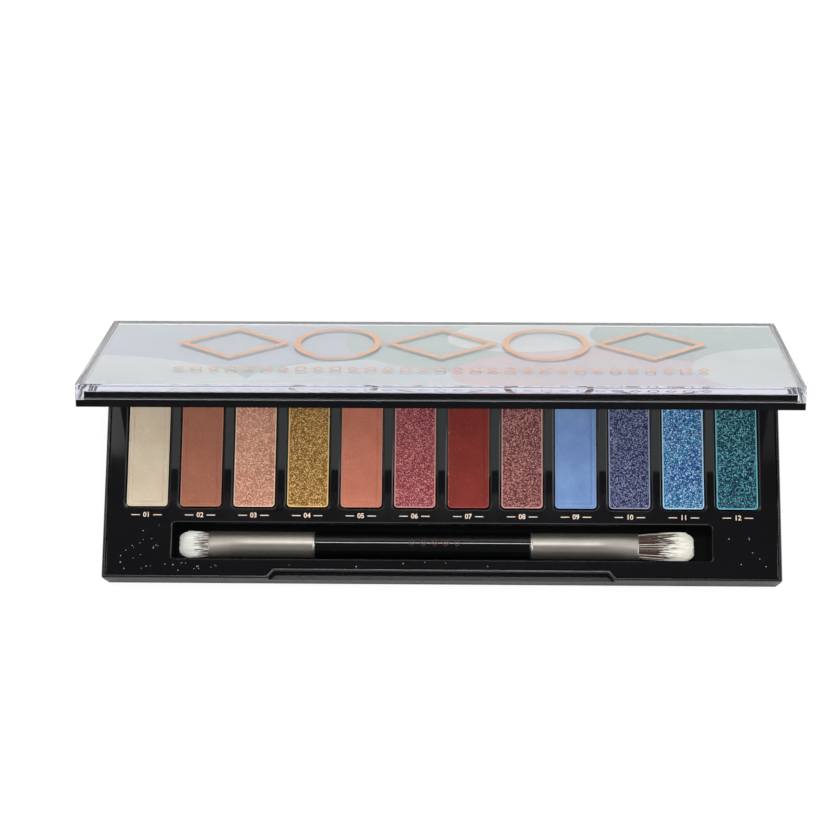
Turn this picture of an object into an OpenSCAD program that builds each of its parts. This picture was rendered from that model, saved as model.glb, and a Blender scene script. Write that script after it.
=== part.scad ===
// Eyeshadow palette: a hinged black case with twelve pressed powders in metal pans, a long
// well with a double-ended brush, and a lid with a mirror inside and a clear cover over a card.
// The case rests on the plane z = 0. X runs left to right and -Y is the front of the case.

/* [Case] */
// Distance from the side faces to the outermost pan cells
side_margin = 4.8; // [4:0.1:8]
// How far the base walls lean in towards the underside
base_draft = 0.5; // [0.2:0.1:1]
// Radius of the upright corners
corner_r = 0.5; // [0.4:0.1:2]
// Bevel along the outer edges of the base
edge_bevel = 0.3; // [0.2:0.05:0.5]
// Width of the base rim round the tray
rim_w = 0.9; // [0.8:0.05:1.4]
// Thickness of the base side walls below the tray seat
wall = 2; // [1.8:0.1:2.6]
// Thickness of the base floor
floor_t = 1.4; // [1:0.1:1.6]
// Thickness of the ribs on the base floor
rib_t = 1.2; // [0.8:0.1:2]
// Number of cells between cross ribs
rib_cells = 6; // [4:2:8]

/* [Thumb notch] */
// Width of the thumb notch at its back
notch_w = 100; // [60:1:120]
// Depth of the thumb notch from the front face
notch_d = 2.2; // [1.5:0.1:3]
// Height of the thumb notch below the rim
notch_h = 3; // [2:0.1:5]

/* [Hinge] */
// Depth of the hinge axis below the rim
hinge_drop = 4; // [3.6:0.1:4.4]
// How far the base back leans in below the hinge barrel
rear_lean = 2.8; // [2.4:0.1:3.4]
// Diameter of the steel hinge pins
pin_d = 1.6; // [1.2:0.1:2]
// Radial play of the pin in the lid knuckle
pin_play = 0.06; // [0.03:0.01:0.09]
// Radial play of the pin in the base
pin_hold = 0.02; // [0.01:0.01:0.03]
// Depth of the pin's outer end inside the side face
pin_inset = 0.8; // [0.5:0.1:2]
// How far the pin reaches past the knuckle into the base
pin_reach = 10; // [6:1:14]
// Radius of the lid knuckle
knuckle_r = 2.9; // [2.6:0.1:3]
// Width of each lid knuckle
knuckle_w = 20; // [14:1:26]
// Distance from a side face to the middle of a knuckle
knuckle_in = 26; // [22:1:36]
// Gap between a knuckle and its pocket
knuckle_gap = 0.4; // [0.3:0.05:0.6]
// How far the lid stands open
open_angle = 61; // [0:1:105]

/* [Lid] */
// Gap between the closed lid and the base rim
lid_gap = 0.25; // [0.2:0.05:0.4]
// How far the lid reaches behind the hinge axis
lid_tail = 6; // [5.6:0.1:6.4]
// Thickness of the black flange at the lid's underside
flange_t = 2; // [1.8:0.1:2.4]
// Height of the lid core above the flange
core_t = 2; // [1.8:0.1:2.6]
// Thickness of the printed card
card_t = 0.25; // [0.15:0.05:0.5]
// Thickness of the clear plate
plate_t = 2.3; // [1.6:0.1:3]
// Thickness of the clear side walls
cover_wall = 2; // [1.2:0.1:3]
// Bevel along the edges of the clear cover
cover_bevel = 0.2; // [0.1:0.05:0.6]
// Fit between lid pieces that are glued together
lid_fit = 0.1; // [0.05:0.05:0.2]
// Depth of the pockets in the top of the lid core
core_pocket_d = 1; // [0.6:0.1:1.4]
// Width of the webs between those pockets
core_web = 2; // [1:0.1:3]
// Air between the card and the clear plate
card_air = 0.05; // [0.03:0.01:0.1]

/* [Mirror] */
// Width of the lid frame beside the mirror
mirror_side = 10; // [7:0.5:20]
// Width of the lid frame behind the mirror
mirror_rear = 15.4; // [12:0.2:24]
// Thickness of the mirror glass
mirror_t = 1.4; // [1:0.1:1.6]
// Thickness of the adhesive sheet behind the mirror
tape_t = 0.2; // [0.1:0.05:0.3]
// Width of the lid frame in front of the mirror
mirror_front = 9.2; // [7.6:0.2:12]
// Gap round the mirror in its recess
mirror_gap = 0.2; // [0.1:0.05:0.4]
// How far the mirror lies inside the lid frame
mirror_sink = 0.1; // [0.05:0.05:0.3]

/* [Tray] */
// Thickness of the tray plate
tray_t = 1.2; // [1:0.1:1.6]
// How far the tray lies below the rim
tray_drop = 0.15; // [0.1:0.05:0.4]
// Gap between the tray and the base rim
tray_gap = 0.1; // [0.05:0.05:0.2]
// Distance from the tray's rear edge to the hinge axis
tray_rear_gap = 5.2; // [5:0.1:6]
// Width of the tray behind the pan wells
tray_border = 2; // [1.5:0.1:5]
// Height of the ribs that carry the brush well
well_lift = 1.15; // [0.6:0.05:2.5]
// Thickness of the well walls and floors
well_wall = 0.9; // [0.7:0.1:1.1]
// Bevel round the mouth of each well
well_bevel = 0.3; // [0.2:0.05:0.5]

/* [Pans] */
// Number of pans in the row
pan_count = 12; // [11:1:12]
// Width of the web between two pan wells
pan_web = 2.8; // [2:0.1:4]
// Width of a pan
pan_w = 12.4; // [11.6:0.1:14]
// Length of a pan, front to rear
pan_l = 38; // [30:0.5:46]
// Height of a pan
pan_h = 4; // [3:0.1:4.4]
// Thickness of the stamped pan wall
pan_t = 0.35; // [0.2:0.05:0.5]
// Corner radius of a pan
pan_r = 1.1; // [0.8:0.1:2]
// Width of the printed strip between the brush well and the pans
label_strip = 4.8; // [3:0.1:8]
// Gap between a pan and its well
pan_gap = 0.5; // [0.3:0.05:0.6]
// How far the pan rims lie below the tray surface
pan_sink = 0.45; // [0.3:0.05:0.8]
// Thickness of the glue spot under each pan
glue_t = 0.15; // [0.1:0.05:0.3]
// Diameter of the glue spot under each pan
glue_d = 7; // [4:0.5:9]
// How far the powder's border lies below the pan rim
powder_sink = 0.25; // [0.1:0.05:0.5]
// Height of the pressed field above its border
powder_rise = 0.45; // [0.2:0.05:0.5]
// Width of the bevel round the pressed field
powder_bevel = 1.2; // [0.8:0.1:2]
// Gap between the powder and the pan wall
powder_gap = 0.03; // [0.02:0.01:0.08]

/* [Brush well] */
// Gap between the left end of the brush and its well
brush_end_gap = 1.9; // [1:0.1:3]
// Gap at the right end of the brush, where a fingertip lifts it out
finger_gap = 5; // [4.6:0.1:7]
// Gap beside the widest part of the brush
brush_side_gap = 0.8; // [0.5:0.1:1.5]
// How far the brush lies below the tray surface
brush_sink = 1.4; // [0.6:0.1:2]
// Distance from the front face to the brush well
brush_well_front = 6.2; // [5.8:0.1:7]
// Corner radius of the brush well
brush_well_r = 1.2; // [0.8:0.1:2]

/* [Brush] */
// Diameter of the brush handle
handle_d = 7.9; // [7:0.1:8.2]
// Length of the black handle
handle_l = 65.2; // [50:0.5:70]
// Width of the bright collar rings
collar_l = 0.6; // [0.4:0.1:1.2]
// How far the collar rings stand proud of the handle
collar_proud = 0.1; // [0.05:0.05:0.2]
// Length of the left ferrule
ferrule_left_l = 31.6; // [24:0.2:36]
// Length of the right ferrule
ferrule_right_l = 32; // [24:0.2:36]
// Wall thickness of the ferrules
ferrule_t = 0.35; // [0.25:0.05:0.5]
// Length of the crimped end of a ferrule
crimp_l = 12; // [8:1:16]
// Thickness of a ferrule at its crimped end
crimp_t = 5.6; // [4.6:0.1:6.6]
// How much wider than round a ferrule is at its crimped end
crimp_spread = 0.4; // [0.2:0.1:0.8]
// Play between ferrule, tenon and hair root
ferrule_fit = 0.05; // [0.03:0.01:0.1]
// Length of the left hair bundle outside its ferrule
hair_left_l = 8.9; // [6:0.1:9.4]
// Width of the left hair bundle
hair_left_w = 8.6; // [7:0.1:9.2]
// Length of the right hair bundle outside its ferrule
hair_right_l = 16.8; // [12:0.1:18]
// Width of the right hair bundle
hair_right_w = 9.4; // [8:0.1:9.6]
// Length of hair and handle held inside a ferrule
held_l = 6; // [4:0.5:8]
// Gap between the brush and the floor of its well
brush_rest = 0.1; // [0.05:0.05:0.2]
// How far the brush lies in front of the middle of its well
brush_shift = 0.5; // [0:0.1:0.6]

/* [Magnets] */
// Diameter of the closing magnets
magnet_d = 4; // [3:0.5:4]
// Height of the magnets in the base
magnet_h = 2; // [1.5:0.1:2.5]
// Height of the magnets in the lid
lid_magnet_h = 1.8; // [1.2:0.1:1.8]
// Distance from a side face to the middle of a magnet
magnet_in = 10; // [6:0.5:12]
// Distance from the front face to a magnet
magnet_y = 5.6; // [5.4:0.1:6]
// Play round a magnet in its pocket
magnet_play = 0.05; // [0.03:0.01:0.1]
// Wall of the boss round a base magnet
magnet_wall = 1.1; // [0.8:0.1:1.4]

/* [Hidden] */
$fn = 48;

// Colours of the pressed powders, from left to right
POWDER_COLOURS = [
    "#d8c7ad", "#a9705c", "#bd8872", "#97763c", "#b96f5b", "#8f4656",
    "#7f2f2c", "#7c4a4e", "#7796c8", "#434a6d", "#3f7bab", "#155f6c"
];
CASE_BLACK = "#141416";
TRAY_BLACK = "#1b1b1f";
FERRULE_METAL = "#b3a79d";
TIN = "#c9c9c6";
STEEL = "#8f9193";

pan_pitch = pan_w + 2 * pan_gap + pan_web;
case_w = pan_count * pan_pitch + 2 * side_margin;

brush_l = hair_left_l + ferrule_left_l + handle_l + ferrule_right_l + hair_right_l + 2 * collar_l;
brush_well_l = brush_l + brush_end_gap + finger_gap;
brush_well_w = max(hair_left_w, hair_right_w, handle_d) + 2 * brush_side_gap;
brush_well_h = handle_d + 2 * collar_proud + brush_rest + brush_sink;
base_h = floor_t + well_lift + well_wall + brush_well_h + tray_drop;

pan_front = brush_well_front + brush_well_w + label_strip;
tray_rear = pan_front + pan_l + pan_gap + well_wall + tray_border;
hinge_y = tray_rear + tray_rear_gap;
axis_z = base_h - hinge_drop;
case_mid = (hinge_y + hinge_drop) / 2;
knuckle_x = case_w / 2 - knuckle_in;
magnet_x = case_w / 2 - magnet_in;
lid_z = base_h + lid_gap;
lid_d = hinge_y + lid_tail;
lid_h = flange_t + core_t + card_t + card_air + plate_t;
mirror_w = case_w - 2 * mirror_side;
mirror_d = lid_d - mirror_front - mirror_rear;
mirror_recess = mirror_sink + mirror_t + tape_t;
rear_foot_y = hinge_y + hinge_drop - rear_lean;

tray_top = base_h - tray_drop;
tray_low = tray_top - tray_t;
seat_step = wall - rim_w;
cavity_rear = tray_rear - seat_step;

pan_rim_z = tray_top - pan_sink;
pan_z = pan_rim_z - pan_h;
pan_well_z = pan_z - glue_t;
pan_well_under = pan_well_z - well_wall;
pan_mid_y = pan_front + pan_l / 2;
well_w = pan_w + 2 * pan_gap;
well_l = pan_l + 2 * pan_gap;
well_r = pan_r + pan_gap;

brush_well_z = tray_top - brush_well_h;
brush_well_under = brush_well_z - well_wall;
brush_well_mid = brush_well_front + brush_well_w / 2;
brush_y = brush_well_mid - brush_shift;
brush_z = brush_well_z + brush_rest + handle_d / 2 + collar_proud;
brush_x0 = brush_end_gap - brush_well_l / 2;
handle_x0 = brush_x0 + hair_left_l + ferrule_left_l + collar_l;
handle_x1 = handle_x0 + handle_l;
ferrule_left_x = handle_x0 - collar_l;
ferrule_right_x = handle_x1 + collar_l;
crimp_w = handle_d + crimp_spread;
tip_r = 2.4;
facets = 32;

magnet_z = tray_low - magnet_h;
rib_pitch = (case_w - 2 * wall) / rib_cells;
rib_rear_y = [pan_front + pan_l * 0.2, pan_front + pan_l * 0.8];
eps = 0.01;

// ---- placing ----

// Moves a piece from case coordinates (y = 0 at the front face) to the part's own frame
module in_case() {
    translate([0, -case_mid, 0])
        children();
}

// Turns a piece drawn on the closed lid to the angle at which the lid stands open
module on_lid() {
    in_case()
        translate([0, hinge_y, axis_z])
            rotate([-open_angle, 0, 0])
                translate([0, -hinge_y, lid_z - axis_z])
                    children();
}

// X position of the middle of pan number i, counted from 0 at the left
function pan_x(i) = (i - (pan_count - 1) / 2) * pan_pitch;

// ---- shared shapes ----

// Rectangle with true arcs at its corners, from [x0, y0] to [x1, y1]
module round_rect(x0, y0, x1, y1, r) {
    translate([x0 + r, y0])
        square([x1 - x0 - 2 * r, y1 - y0]);
    translate([x0, y0 + r])
        square([x1 - x0, y1 - y0 - 2 * r]);
    for (x = [x0 + r, x1 - r], y = [y0 + r, y1 - r])
        translate([x, y])
            circle(r = r);
}

// Block with round corners whose four sides lean by grow over its height
module flared_block(w, d, h, r, grow) {
    translate([r - w / 2, 0, 0])
        rotate([90, 0, 90])
            linear_extrude(w - 2 * r)
                polygon([[-d / 2, 0], [d / 2, 0], [d / 2 + grow, h], [-d / 2 - grow, h]]);
    translate([0, d / 2 - r, 0])
        rotate([90, 0, 0])
            linear_extrude(d - 2 * r)
                polygon([[-w / 2, 0], [w / 2, 0], [w / 2 + grow, h], [-w / 2 - grow, h]]);
    for (sx = [-1, 1], sy = [-1, 1])
        translate([sx * (w / 2 - r), sy * (d / 2 - r), 0])
            cylinder(h = h, r1 = r, r2 = r + grow);
}

// Well cut from the tray surface down to z, with a bevelled mouth
module well_cut(w, d, z, r) {
    translate([0, 0, z])
        linear_extrude(tray_top - z + eps)
            round_rect(-w / 2, -d / 2, w / 2, d / 2, r);
    translate([0, 0, tray_top - well_bevel])
        flared_block(w, d, well_bevel + eps, r, well_bevel + eps);
}

// Plan of the thumb notch, moved into the material by inset
module notch_plan(inset) {
    half = notch_w / 2 + inset * (sqrt(2) - 1);
    deep = notch_d + inset;
    front = corner_r;
    polygon([
        [-half - deep - front, -front], [-half, deep], [half, deep], [half + deep + front, -front]
    ]);
}

// Plan of the case without its thumb notch, moved inwards by inset, as far back as rear
module box_plan(inset, rear) {
    half = case_w / 2 - inset;
    round_rect(-half, inset, half, rear, max(corner_r - inset, 0.4));
}

// Plan of the case at the rim, moved inwards by inset, as far back as rear
module case_plan(inset, rear) {
    difference() {
        box_plan(inset, rear);
        notch_plan(inset);
    }
}

// ---- base ----

// Outer form of the base: walls with draft and a round hinge barrel along the rear
module base_outer() {
    half = case_w / 2;
    top_half = half - edge_bevel;
    foot_half = half - base_draft;
    intersection() {
        rotate([90, 0, 90])
            translate([0, 0, -half])
                linear_extrude(case_w) {
                    polygon([
                        [base_draft + edge_bevel, 0], [base_draft, edge_bevel],
                        [0, base_h - edge_bevel], [edge_bevel, base_h], [hinge_y, base_h],
                        [hinge_y + hinge_drop, axis_z], [rear_foot_y, edge_bevel],
                        [rear_foot_y - edge_bevel, 0]
                    ]);
                    translate([hinge_y, axis_z])
                        circle(r = hinge_drop);
                }
        translate([0, hinge_y + hinge_drop, 0])
            rotate([90, 0, 0])
                linear_extrude(hinge_y + hinge_drop)
                    polygon([
                        [-foot_half + edge_bevel, 0], [-foot_half, edge_bevel],
                        [-half, base_h - edge_bevel], [-top_half, base_h],
                        [top_half, base_h], [half, base_h - edge_bevel],
                        [foot_half, edge_bevel], [foot_half - edge_bevel, 0]
                    ]);
        linear_extrude(base_h)
            round_rect(-half, 0, half, hinge_y + hinge_drop, corner_r);
    }
}

// Ribs on the base floor that carry the undersides of the tray wells
module base_ribs() {
    for (i = [1:rib_cells - 1])
        translate([i * rib_pitch - case_w / 2 + wall - rib_t / 2, 0, 0]) {
            translate([0, wall, floor_t - eps])
                cube([rib_t, cavity_rear - wall, brush_well_under - floor_t + eps]);
            translate([0, pan_front, floor_t - eps])
                cube([rib_t, cavity_rear - pan_front, pan_well_under - floor_t + eps]);
        }
    for (y = rib_rear_y)
        translate([wall - case_w / 2, y - rib_t / 2, floor_t - eps])
            cube([case_w - 2 * wall, rib_t, pan_well_under - floor_t + eps]);
}

// Base: thin tub with a rim round the tray, a thumb notch and hinge pockets
module base_shell() {
    pocket_half = knuckle_w / 2 + knuckle_gap;
    pocket_front = hinge_y - knuckle_r - knuckle_gap;
    pocket_floor = axis_z - hinge_drop - knuckle_gap;
    boss_d = magnet_d + 2 * magnet_wall;
    color(CASE_BLACK)
        in_case()
            difference() {
                union() {
                    difference() {
                        base_outer();
                        translate([0, 0, floor_t])
                            linear_extrude(base_h)
                                case_plan(wall, cavity_rear);
                        translate([0, 0, floor_t])
                            linear_extrude(base_h - notch_h - 2 * floor_t)
                                box_plan(wall, cavity_rear);
                    }
                    base_ribs();
                    for (s = [-1, 1])
                        translate([s * magnet_x, magnet_y, floor_t - eps])
                            cylinder(h = tray_low - lid_gap - floor_t, d = boss_d);
                }
                translate([0, 0, tray_low])
                    linear_extrude(base_h)
                        case_plan(rim_w, tray_rear);
                translate([0, 0, base_h - notch_h])
                    linear_extrude(base_h)
                        notch_plan(0);
                for (s = [-1, 1]) {
                    translate([s * magnet_x, magnet_y, magnet_z])
                        cylinder(h = base_h, d = magnet_d + 2 * magnet_play);
                    translate([s * knuckle_x - pocket_half, pocket_front, pocket_floor])
                        cube([2 * pocket_half, case_w, base_h]);
                    hinge_bore(s, pin_d + 2 * pin_hold, case_w / 2 + 1);
                }
            }
}

// Round bar on the hinge axis, on side s, from inside the knuckle out to x = outer
module hinge_bore(s, d, outer) {
    inner = knuckle_x - knuckle_w / 2 - pin_reach;
    translate([s * (inner + outer) / 2, hinge_y, axis_z])
        rotate([0, 90, 0])
            cylinder(h = outer - inner, d = d, center = true);
}

// Steel pins pushed in from both side faces
module hinge_pins() {
    color(STEEL)
        in_case()
            for (s = [-1, 1])
                hinge_bore(s, pin_d, case_w / 2 - pin_inset);
}

// Closing magnets in the front corners of the base
module base_magnets() {
    color(STEEL)
        in_case()
            for (s = [-1, 1])
                translate([s * magnet_x, magnet_y, magnet_z])
                    cylinder(h = magnet_h, d = magnet_d);
}

// ---- tray ----

// Moulded tray: a plate with a row of pan wells and the long brush well
module pan_tray() {
    color(TRAY_BLACK)
        in_case()
            difference() {
                union() {
                    translate([0, 0, tray_low])
                        linear_extrude(tray_t)
                            case_plan(rim_w + tray_gap, tray_rear - tray_gap);
                    for (i = [0:pan_count - 1])
                        translate([pan_x(i), pan_mid_y, pan_well_under])
                            linear_extrude(tray_low - pan_well_under + eps)
                                square([well_w + 2 * well_wall, well_l + 2 * well_wall], center = true);
                    translate([0, brush_well_mid, brush_well_under])
                        linear_extrude(tray_low - brush_well_under + eps)
                            square([brush_well_l + 2 * well_wall, brush_well_w + 2 * well_wall], center = true);
                }
                for (i = [0:pan_count - 1])
                    translate([pan_x(i), pan_mid_y, 0])
                        well_cut(well_w, well_l, pan_well_z, well_r);
                translate([0, brush_well_mid, 0])
                    well_cut(brush_well_l, brush_well_w, brush_well_z, brush_well_r);
            }
}

// Glue spots under the pans
module pan_glue() {
    color("#e8e2c8")
        in_case()
            for (i = [0:pan_count - 1])
                translate([pan_x(i), pan_mid_y, pan_well_z])
                    cylinder(h = glue_t, d = glue_d);
}

// Stamped pan number i
module pan(i) {
    color(TIN)
        in_case()
            translate([pan_x(i), pan_mid_y, pan_z])
                difference() {
                    linear_extrude(pan_h)
                        round_rect(-pan_w / 2, -pan_l / 2, pan_w / 2, pan_l / 2, pan_r);
                    translate([0, 0, pan_t])
                        linear_extrude(pan_h)
                            round_rect(
                                pan_t - pan_w / 2, pan_t - pan_l / 2,
                                pan_w / 2 - pan_t, pan_l / 2 - pan_t, pan_r - pan_t
                            );
                }
}

// Pressed powder number i: a cake with a bevelled border round a raised field
module powder(i) {
    inset = pan_t + powder_gap;
    w = pan_w - 2 * inset;
    l = pan_l - 2 * inset;
    r = pan_r - inset;
    border_h = pan_h - pan_t - powder_sink;
    color(POWDER_COLOURS[i])
        in_case()
            translate([pan_x(i), pan_mid_y, pan_z + pan_t]) {
                linear_extrude(border_h)
                    round_rect(-w / 2, -l / 2, w / 2, l / 2, r);
                translate([0, 0, border_h - eps])
                    flared_block(w, l, powder_rise + eps, r, -min(powder_bevel, r - 0.1));
            }
}

// ---- brush ----

// Places a piece of the brush: its local Z axis is the brush axis, pointing to +X
module on_brush(x) {
    in_case()
        translate([x, brush_y, brush_z])
            rotate([90, 0, 90])
                children();
}

// Thin disc of a given width and thickness, the cross section of a crimped ferrule
module oval_disc(w, t, h) {
    linear_extrude(h)
        scale([1, t / w])
            circle(d = w, $fn = facets);
}

// Ferrule form that grows by grow outside, round at z = 0 and crimped at z = length
module ferrule_form(length, grow) {
    cylinder(h = length - crimp_l, d = handle_d + 2 * grow);
    hull() {
        translate([0, 0, length - crimp_l])
            cylinder(h = eps, d = handle_d + 2 * grow, $fn = facets);
        translate([0, 0, length - eps])
            oval_disc(crimp_w + 2 * grow, crimp_t + 2 * grow, eps);
    }
}

// Handle: a glossy rod with a stepped tenon at each end
module brush_handle() {
    tenon_d = handle_d - 2 * ferrule_t - 2 * ferrule_fit;
    color(CASE_BLACK)
        on_brush(handle_x0)
            union() {
                cylinder(h = handle_l, d = handle_d);
                translate([0, 0, -held_l])
                    cylinder(h = handle_l + 2 * held_l, d = tenon_d);
            }
}

// Bright ring between handle and ferrule, from x to x + collar_l
module brush_collar(x) {
    color(TIN)
        on_brush(x)
            difference() {
                cylinder(h = collar_l, d = handle_d + 2 * collar_proud);
                translate([0, 0, -eps])
                    cylinder(h = collar_l + 2 * eps, d = handle_d - 2 * ferrule_t);
            }
}

// Ferrule of a given length, drawn from its collar at z = 0 towards its hair
module brush_ferrule(length) {
    color(FERRULE_METAL)
        difference() {
            ferrule_form(length, 0);
            translate([0, 0, -eps])
                cylinder(h = length - crimp_l, d = handle_d - 2 * ferrule_t);
            hull() {
                translate([0, 0, length - crimp_l - 2 * eps])
                    cylinder(h = eps, d = handle_d - 2 * ferrule_t, $fn = facets);
                translate([0, 0, length])
                    oval_disc(crimp_w - 2 * ferrule_t, crimp_t - 2 * ferrule_t, eps);
            }
        }
}

// Hair bundle of a given free length and width, with its bound root below z = 0
module hair_bundle(length, w, belly) {
    root_w = crimp_w - 2 * ferrule_t - 2 * ferrule_fit;
    root_t = crimp_t - 2 * ferrule_t - 2 * ferrule_fit;
    thick = w * crimp_t / crimp_w;
    color("#cfccc2") {
        hull() {
            translate([0, 0, -held_l])
                oval_disc(root_w * 0.9, root_t * 0.9, eps);
            oval_disc(root_w, root_t, eps);
        }
        hull() {
            oval_disc(root_w, root_t, eps);
            translate([0, 0, length * belly])
                oval_disc(w, thick, eps);
            translate([0, 0, length - tip_r])
                oval_disc(w * 0.92, thick * 0.9, eps);
            translate([0, 0, length - tip_r * 0.35])
                oval_disc(w * 0.7, thick * 0.66, eps);
            translate([0, 0, length - eps])
                oval_disc(w * 0.36, thick * 0.3, eps);
        }
    }
}

module brush_ferrule_left() {
    on_brush(ferrule_left_x)
        mirror([0, 0, 1])
            brush_ferrule(ferrule_left_l);
}

module brush_ferrule_right() {
    on_brush(ferrule_right_x)
        brush_ferrule(ferrule_right_l);
}

module brush_hair_left() {
    on_brush(ferrule_left_x - ferrule_left_l)
        mirror([0, 0, 1])
            hair_bundle(hair_left_l, hair_left_w, 0.5);
}

module brush_hair_right() {
    on_brush(ferrule_right_x + ferrule_right_l)
        hair_bundle(hair_right_l, hair_right_w, 0.7);
}

// ---- lid ----

// Plan of a lid piece, inset from the lid's outline
module lid_plan(inset, r) {
    half = case_w / 2 - inset;
    round_rect(-half, inset, half, lid_d - inset, r);
}

// Plan of the mirror, grown by grow on every side
module mirror_plan(grow) {
    half = mirror_w / 2 + grow;
    translate([-half, mirror_front - grow])
        square([2 * half, mirror_d + 2 * grow]);
}

// Lid frame: black flange, mirror recess, hollowed core and two hinge knuckles
module lid_frame() {
    core_in = cover_wall + lid_fit;
    core_top = flange_t + core_t;
    cell_w = (mirror_w - core_web) / rib_cells;
    cell_d = (mirror_d - core_web) / 2;
    color(CASE_BLACK)
        on_lid()
            difference() {
                union() {
                    linear_extrude(flange_t)
                        lid_plan(0, corner_r);
                    linear_extrude(core_top)
                        lid_plan(core_in, 0.6);
                    for (s = [-1, 1])
                        lid_knuckle(s);
                }
                translate([0, 0, -eps])
                    linear_extrude(mirror_recess + eps)
                        mirror_plan(mirror_gap);
                for (i = [0:rib_cells - 1], j = [0, 1])
                    translate([
                        i * cell_w - mirror_w / 2 + core_web,
                        mirror_front + core_web + j * cell_d, core_top - core_pocket_d
                    ])
                        cube([cell_w - core_web, cell_d - core_web, core_t]);
                for (s = [-1, 1]) {
                    translate([s * magnet_x, magnet_y, core_top - lid_magnet_h])
                        cylinder(h = core_t, d = magnet_d + 2 * magnet_play);
                    translate([0, 0, -lid_z])
                        hinge_bore(s, pin_d + 2 * pin_play, knuckle_x + knuckle_w);
                }
            }
}

// Hinge knuckle hanging from the lid flange on side s
module lid_knuckle(s) {
    low = axis_z - lid_z;
    translate([s * knuckle_x - knuckle_w / 2, hinge_y, low])
        rotate([90, 0, 90])
            linear_extrude(knuckle_w) {
                circle(r = knuckle_r);
                translate([-knuckle_r, 0])
                    square([2 * knuckle_r, flange_t - low]);
            }
}

// Clear cover: a plate with side walls that stand on the flange
module lid_cover() {
    half = case_w / 2;
    height = lid_h - flange_t;
    color("#dfe9ec", 0.35)
        on_lid()
            translate([0, 0, flange_t])
                difference() {
                    intersection() {
                        linear_extrude(height)
                            lid_plan(0, corner_r);
                        rotate([90, 0, 90])
                            translate([0, 0, -half])
                                linear_extrude(case_w)
                                    bevelled_profile(0, lid_d, height);
                        translate([0, lid_d, 0])
                            rotate([90, 0, 0])
                                linear_extrude(lid_d)
                                    bevelled_profile(-half, half, height);
                    }
                    translate([0, 0, -eps])
                        linear_extrude(height - plate_t + eps)
                            lid_plan(cover_wall, 0.6);
                }
}

// Cross section of the cover from a to b, with bevelled upper corners
module bevelled_profile(a, b, h) {
    polygon([
        [a, 0], [a, h - cover_bevel], [a + cover_bevel, h],
        [b - cover_bevel, h], [b, h - cover_bevel], [b, 0]
    ]);
}

// Printed card under the clear plate
module lid_art_card() {
    color("#b9c9c8")
        on_lid()
            translate([0, 0, flange_t + core_t])
                linear_extrude(card_t)
                    lid_plan(cover_wall + lid_fit, 0.6);
}

// Mirror glass in the underside of the lid
module lid_mirror() {
    color("#d5dadd")
        on_lid()
            translate([0, 0, mirror_sink])
                linear_extrude(mirror_t)
                    mirror_plan(0);
}

// Adhesive sheet between mirror and lid frame
module mirror_tape() {
    color("#dddddd")
        on_lid()
            translate([0, 0, mirror_sink + mirror_t])
                linear_extrude(tape_t)
                    mirror_plan(-1);
}

// Closing magnets in the front corners of the lid
module lid_magnets() {
    color(STEEL)
        on_lid()
            for (s = [-1, 1])
                translate([s * magnet_x, magnet_y, flange_t + core_t - lid_magnet_h])
                    cylinder(h = lid_magnet_h, d = magnet_d);
}

base_shell();
pan_tray();
hinge_pins();
base_magnets();
pan_glue();
pan(0);  // pan_01
pan(1);  // pan_02
pan(2);  // pan_03
pan(3);  // pan_04
pan(4);  // pan_05
pan(5);  // pan_06
pan(6);  // pan_07
pan(7);  // pan_08
pan(8);  // pan_09
pan(9);  // pan_10
pan(10);  // pan_11
pan(11);  // pan_12
powder(0);  // powder_01
powder(1);  // powder_02
powder(2);  // powder_03
powder(3);  // powder_04
powder(4);  // powder_05
powder(5);  // powder_06
powder(6);  // powder_07
powder(7);  // powder_08
powder(8);  // powder_09
powder(9);  // powder_10
powder(10);  // powder_11
powder(11);  // powder_12
brush_handle();
brush_collar(ferrule_left_x);  // brush_collar_left
brush_collar(handle_x1);  // brush_collar_right
brush_ferrule_left();
brush_ferrule_right();
brush_hair_left();
brush_hair_right();
lid_frame();
lid_cover();
lid_art_card();
lid_mirror();
mirror_tape();
lid_magnets();
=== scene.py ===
"""Eyeshadow palette: fine pieces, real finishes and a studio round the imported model.

Sizes in the classes are millimetres in the model's own frame: X runs along the case, Y points to
the hinge, Z points up, and the origin is the centre of the underside.
"""

import logging
import math
from collections.abc import Callable, Iterator
from contextlib import contextmanager
from dataclasses import dataclass, field
from enum import Enum
from functools import partial

import bmesh
import bpy
import numpy as np
from mathutils import Euler, Matrix, Vector


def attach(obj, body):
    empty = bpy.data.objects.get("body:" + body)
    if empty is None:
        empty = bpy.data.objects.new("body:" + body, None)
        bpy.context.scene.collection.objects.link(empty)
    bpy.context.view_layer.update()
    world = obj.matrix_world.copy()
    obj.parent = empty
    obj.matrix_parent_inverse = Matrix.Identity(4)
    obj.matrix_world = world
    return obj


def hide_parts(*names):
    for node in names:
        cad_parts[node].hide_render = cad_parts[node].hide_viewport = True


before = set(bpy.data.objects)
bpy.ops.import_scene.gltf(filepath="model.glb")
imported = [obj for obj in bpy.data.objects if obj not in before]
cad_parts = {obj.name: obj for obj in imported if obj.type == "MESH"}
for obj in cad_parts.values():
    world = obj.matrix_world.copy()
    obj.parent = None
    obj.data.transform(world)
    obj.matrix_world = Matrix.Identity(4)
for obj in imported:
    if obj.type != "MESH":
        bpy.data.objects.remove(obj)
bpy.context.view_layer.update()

MM = 0.001
UP = 0.9

# Two heights count as the same when they are this near, in metres
TOUCH = 1e-6

# The same for an edge's two ends, in millimetres: beside each other, and at a place
NEAR, LEVEL = 0.001, 0.005

# The least angle between the two faces of an edge that gets a bevel
SHARP = math.radians(30)

# With no window the rotate operator turns the other way
WINDOWLESS = -1

Object = bpy.types.Object
Node = bpy.types.Node
Socket = bpy.types.NodeSocket
Tree = bpy.types.NodeTree
Inputs = dict[str | int, object]
Point = tuple[float, float, float]
Test = Callable[[Vector, Vector], bool]
Station = tuple[float, float, float, float]

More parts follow.
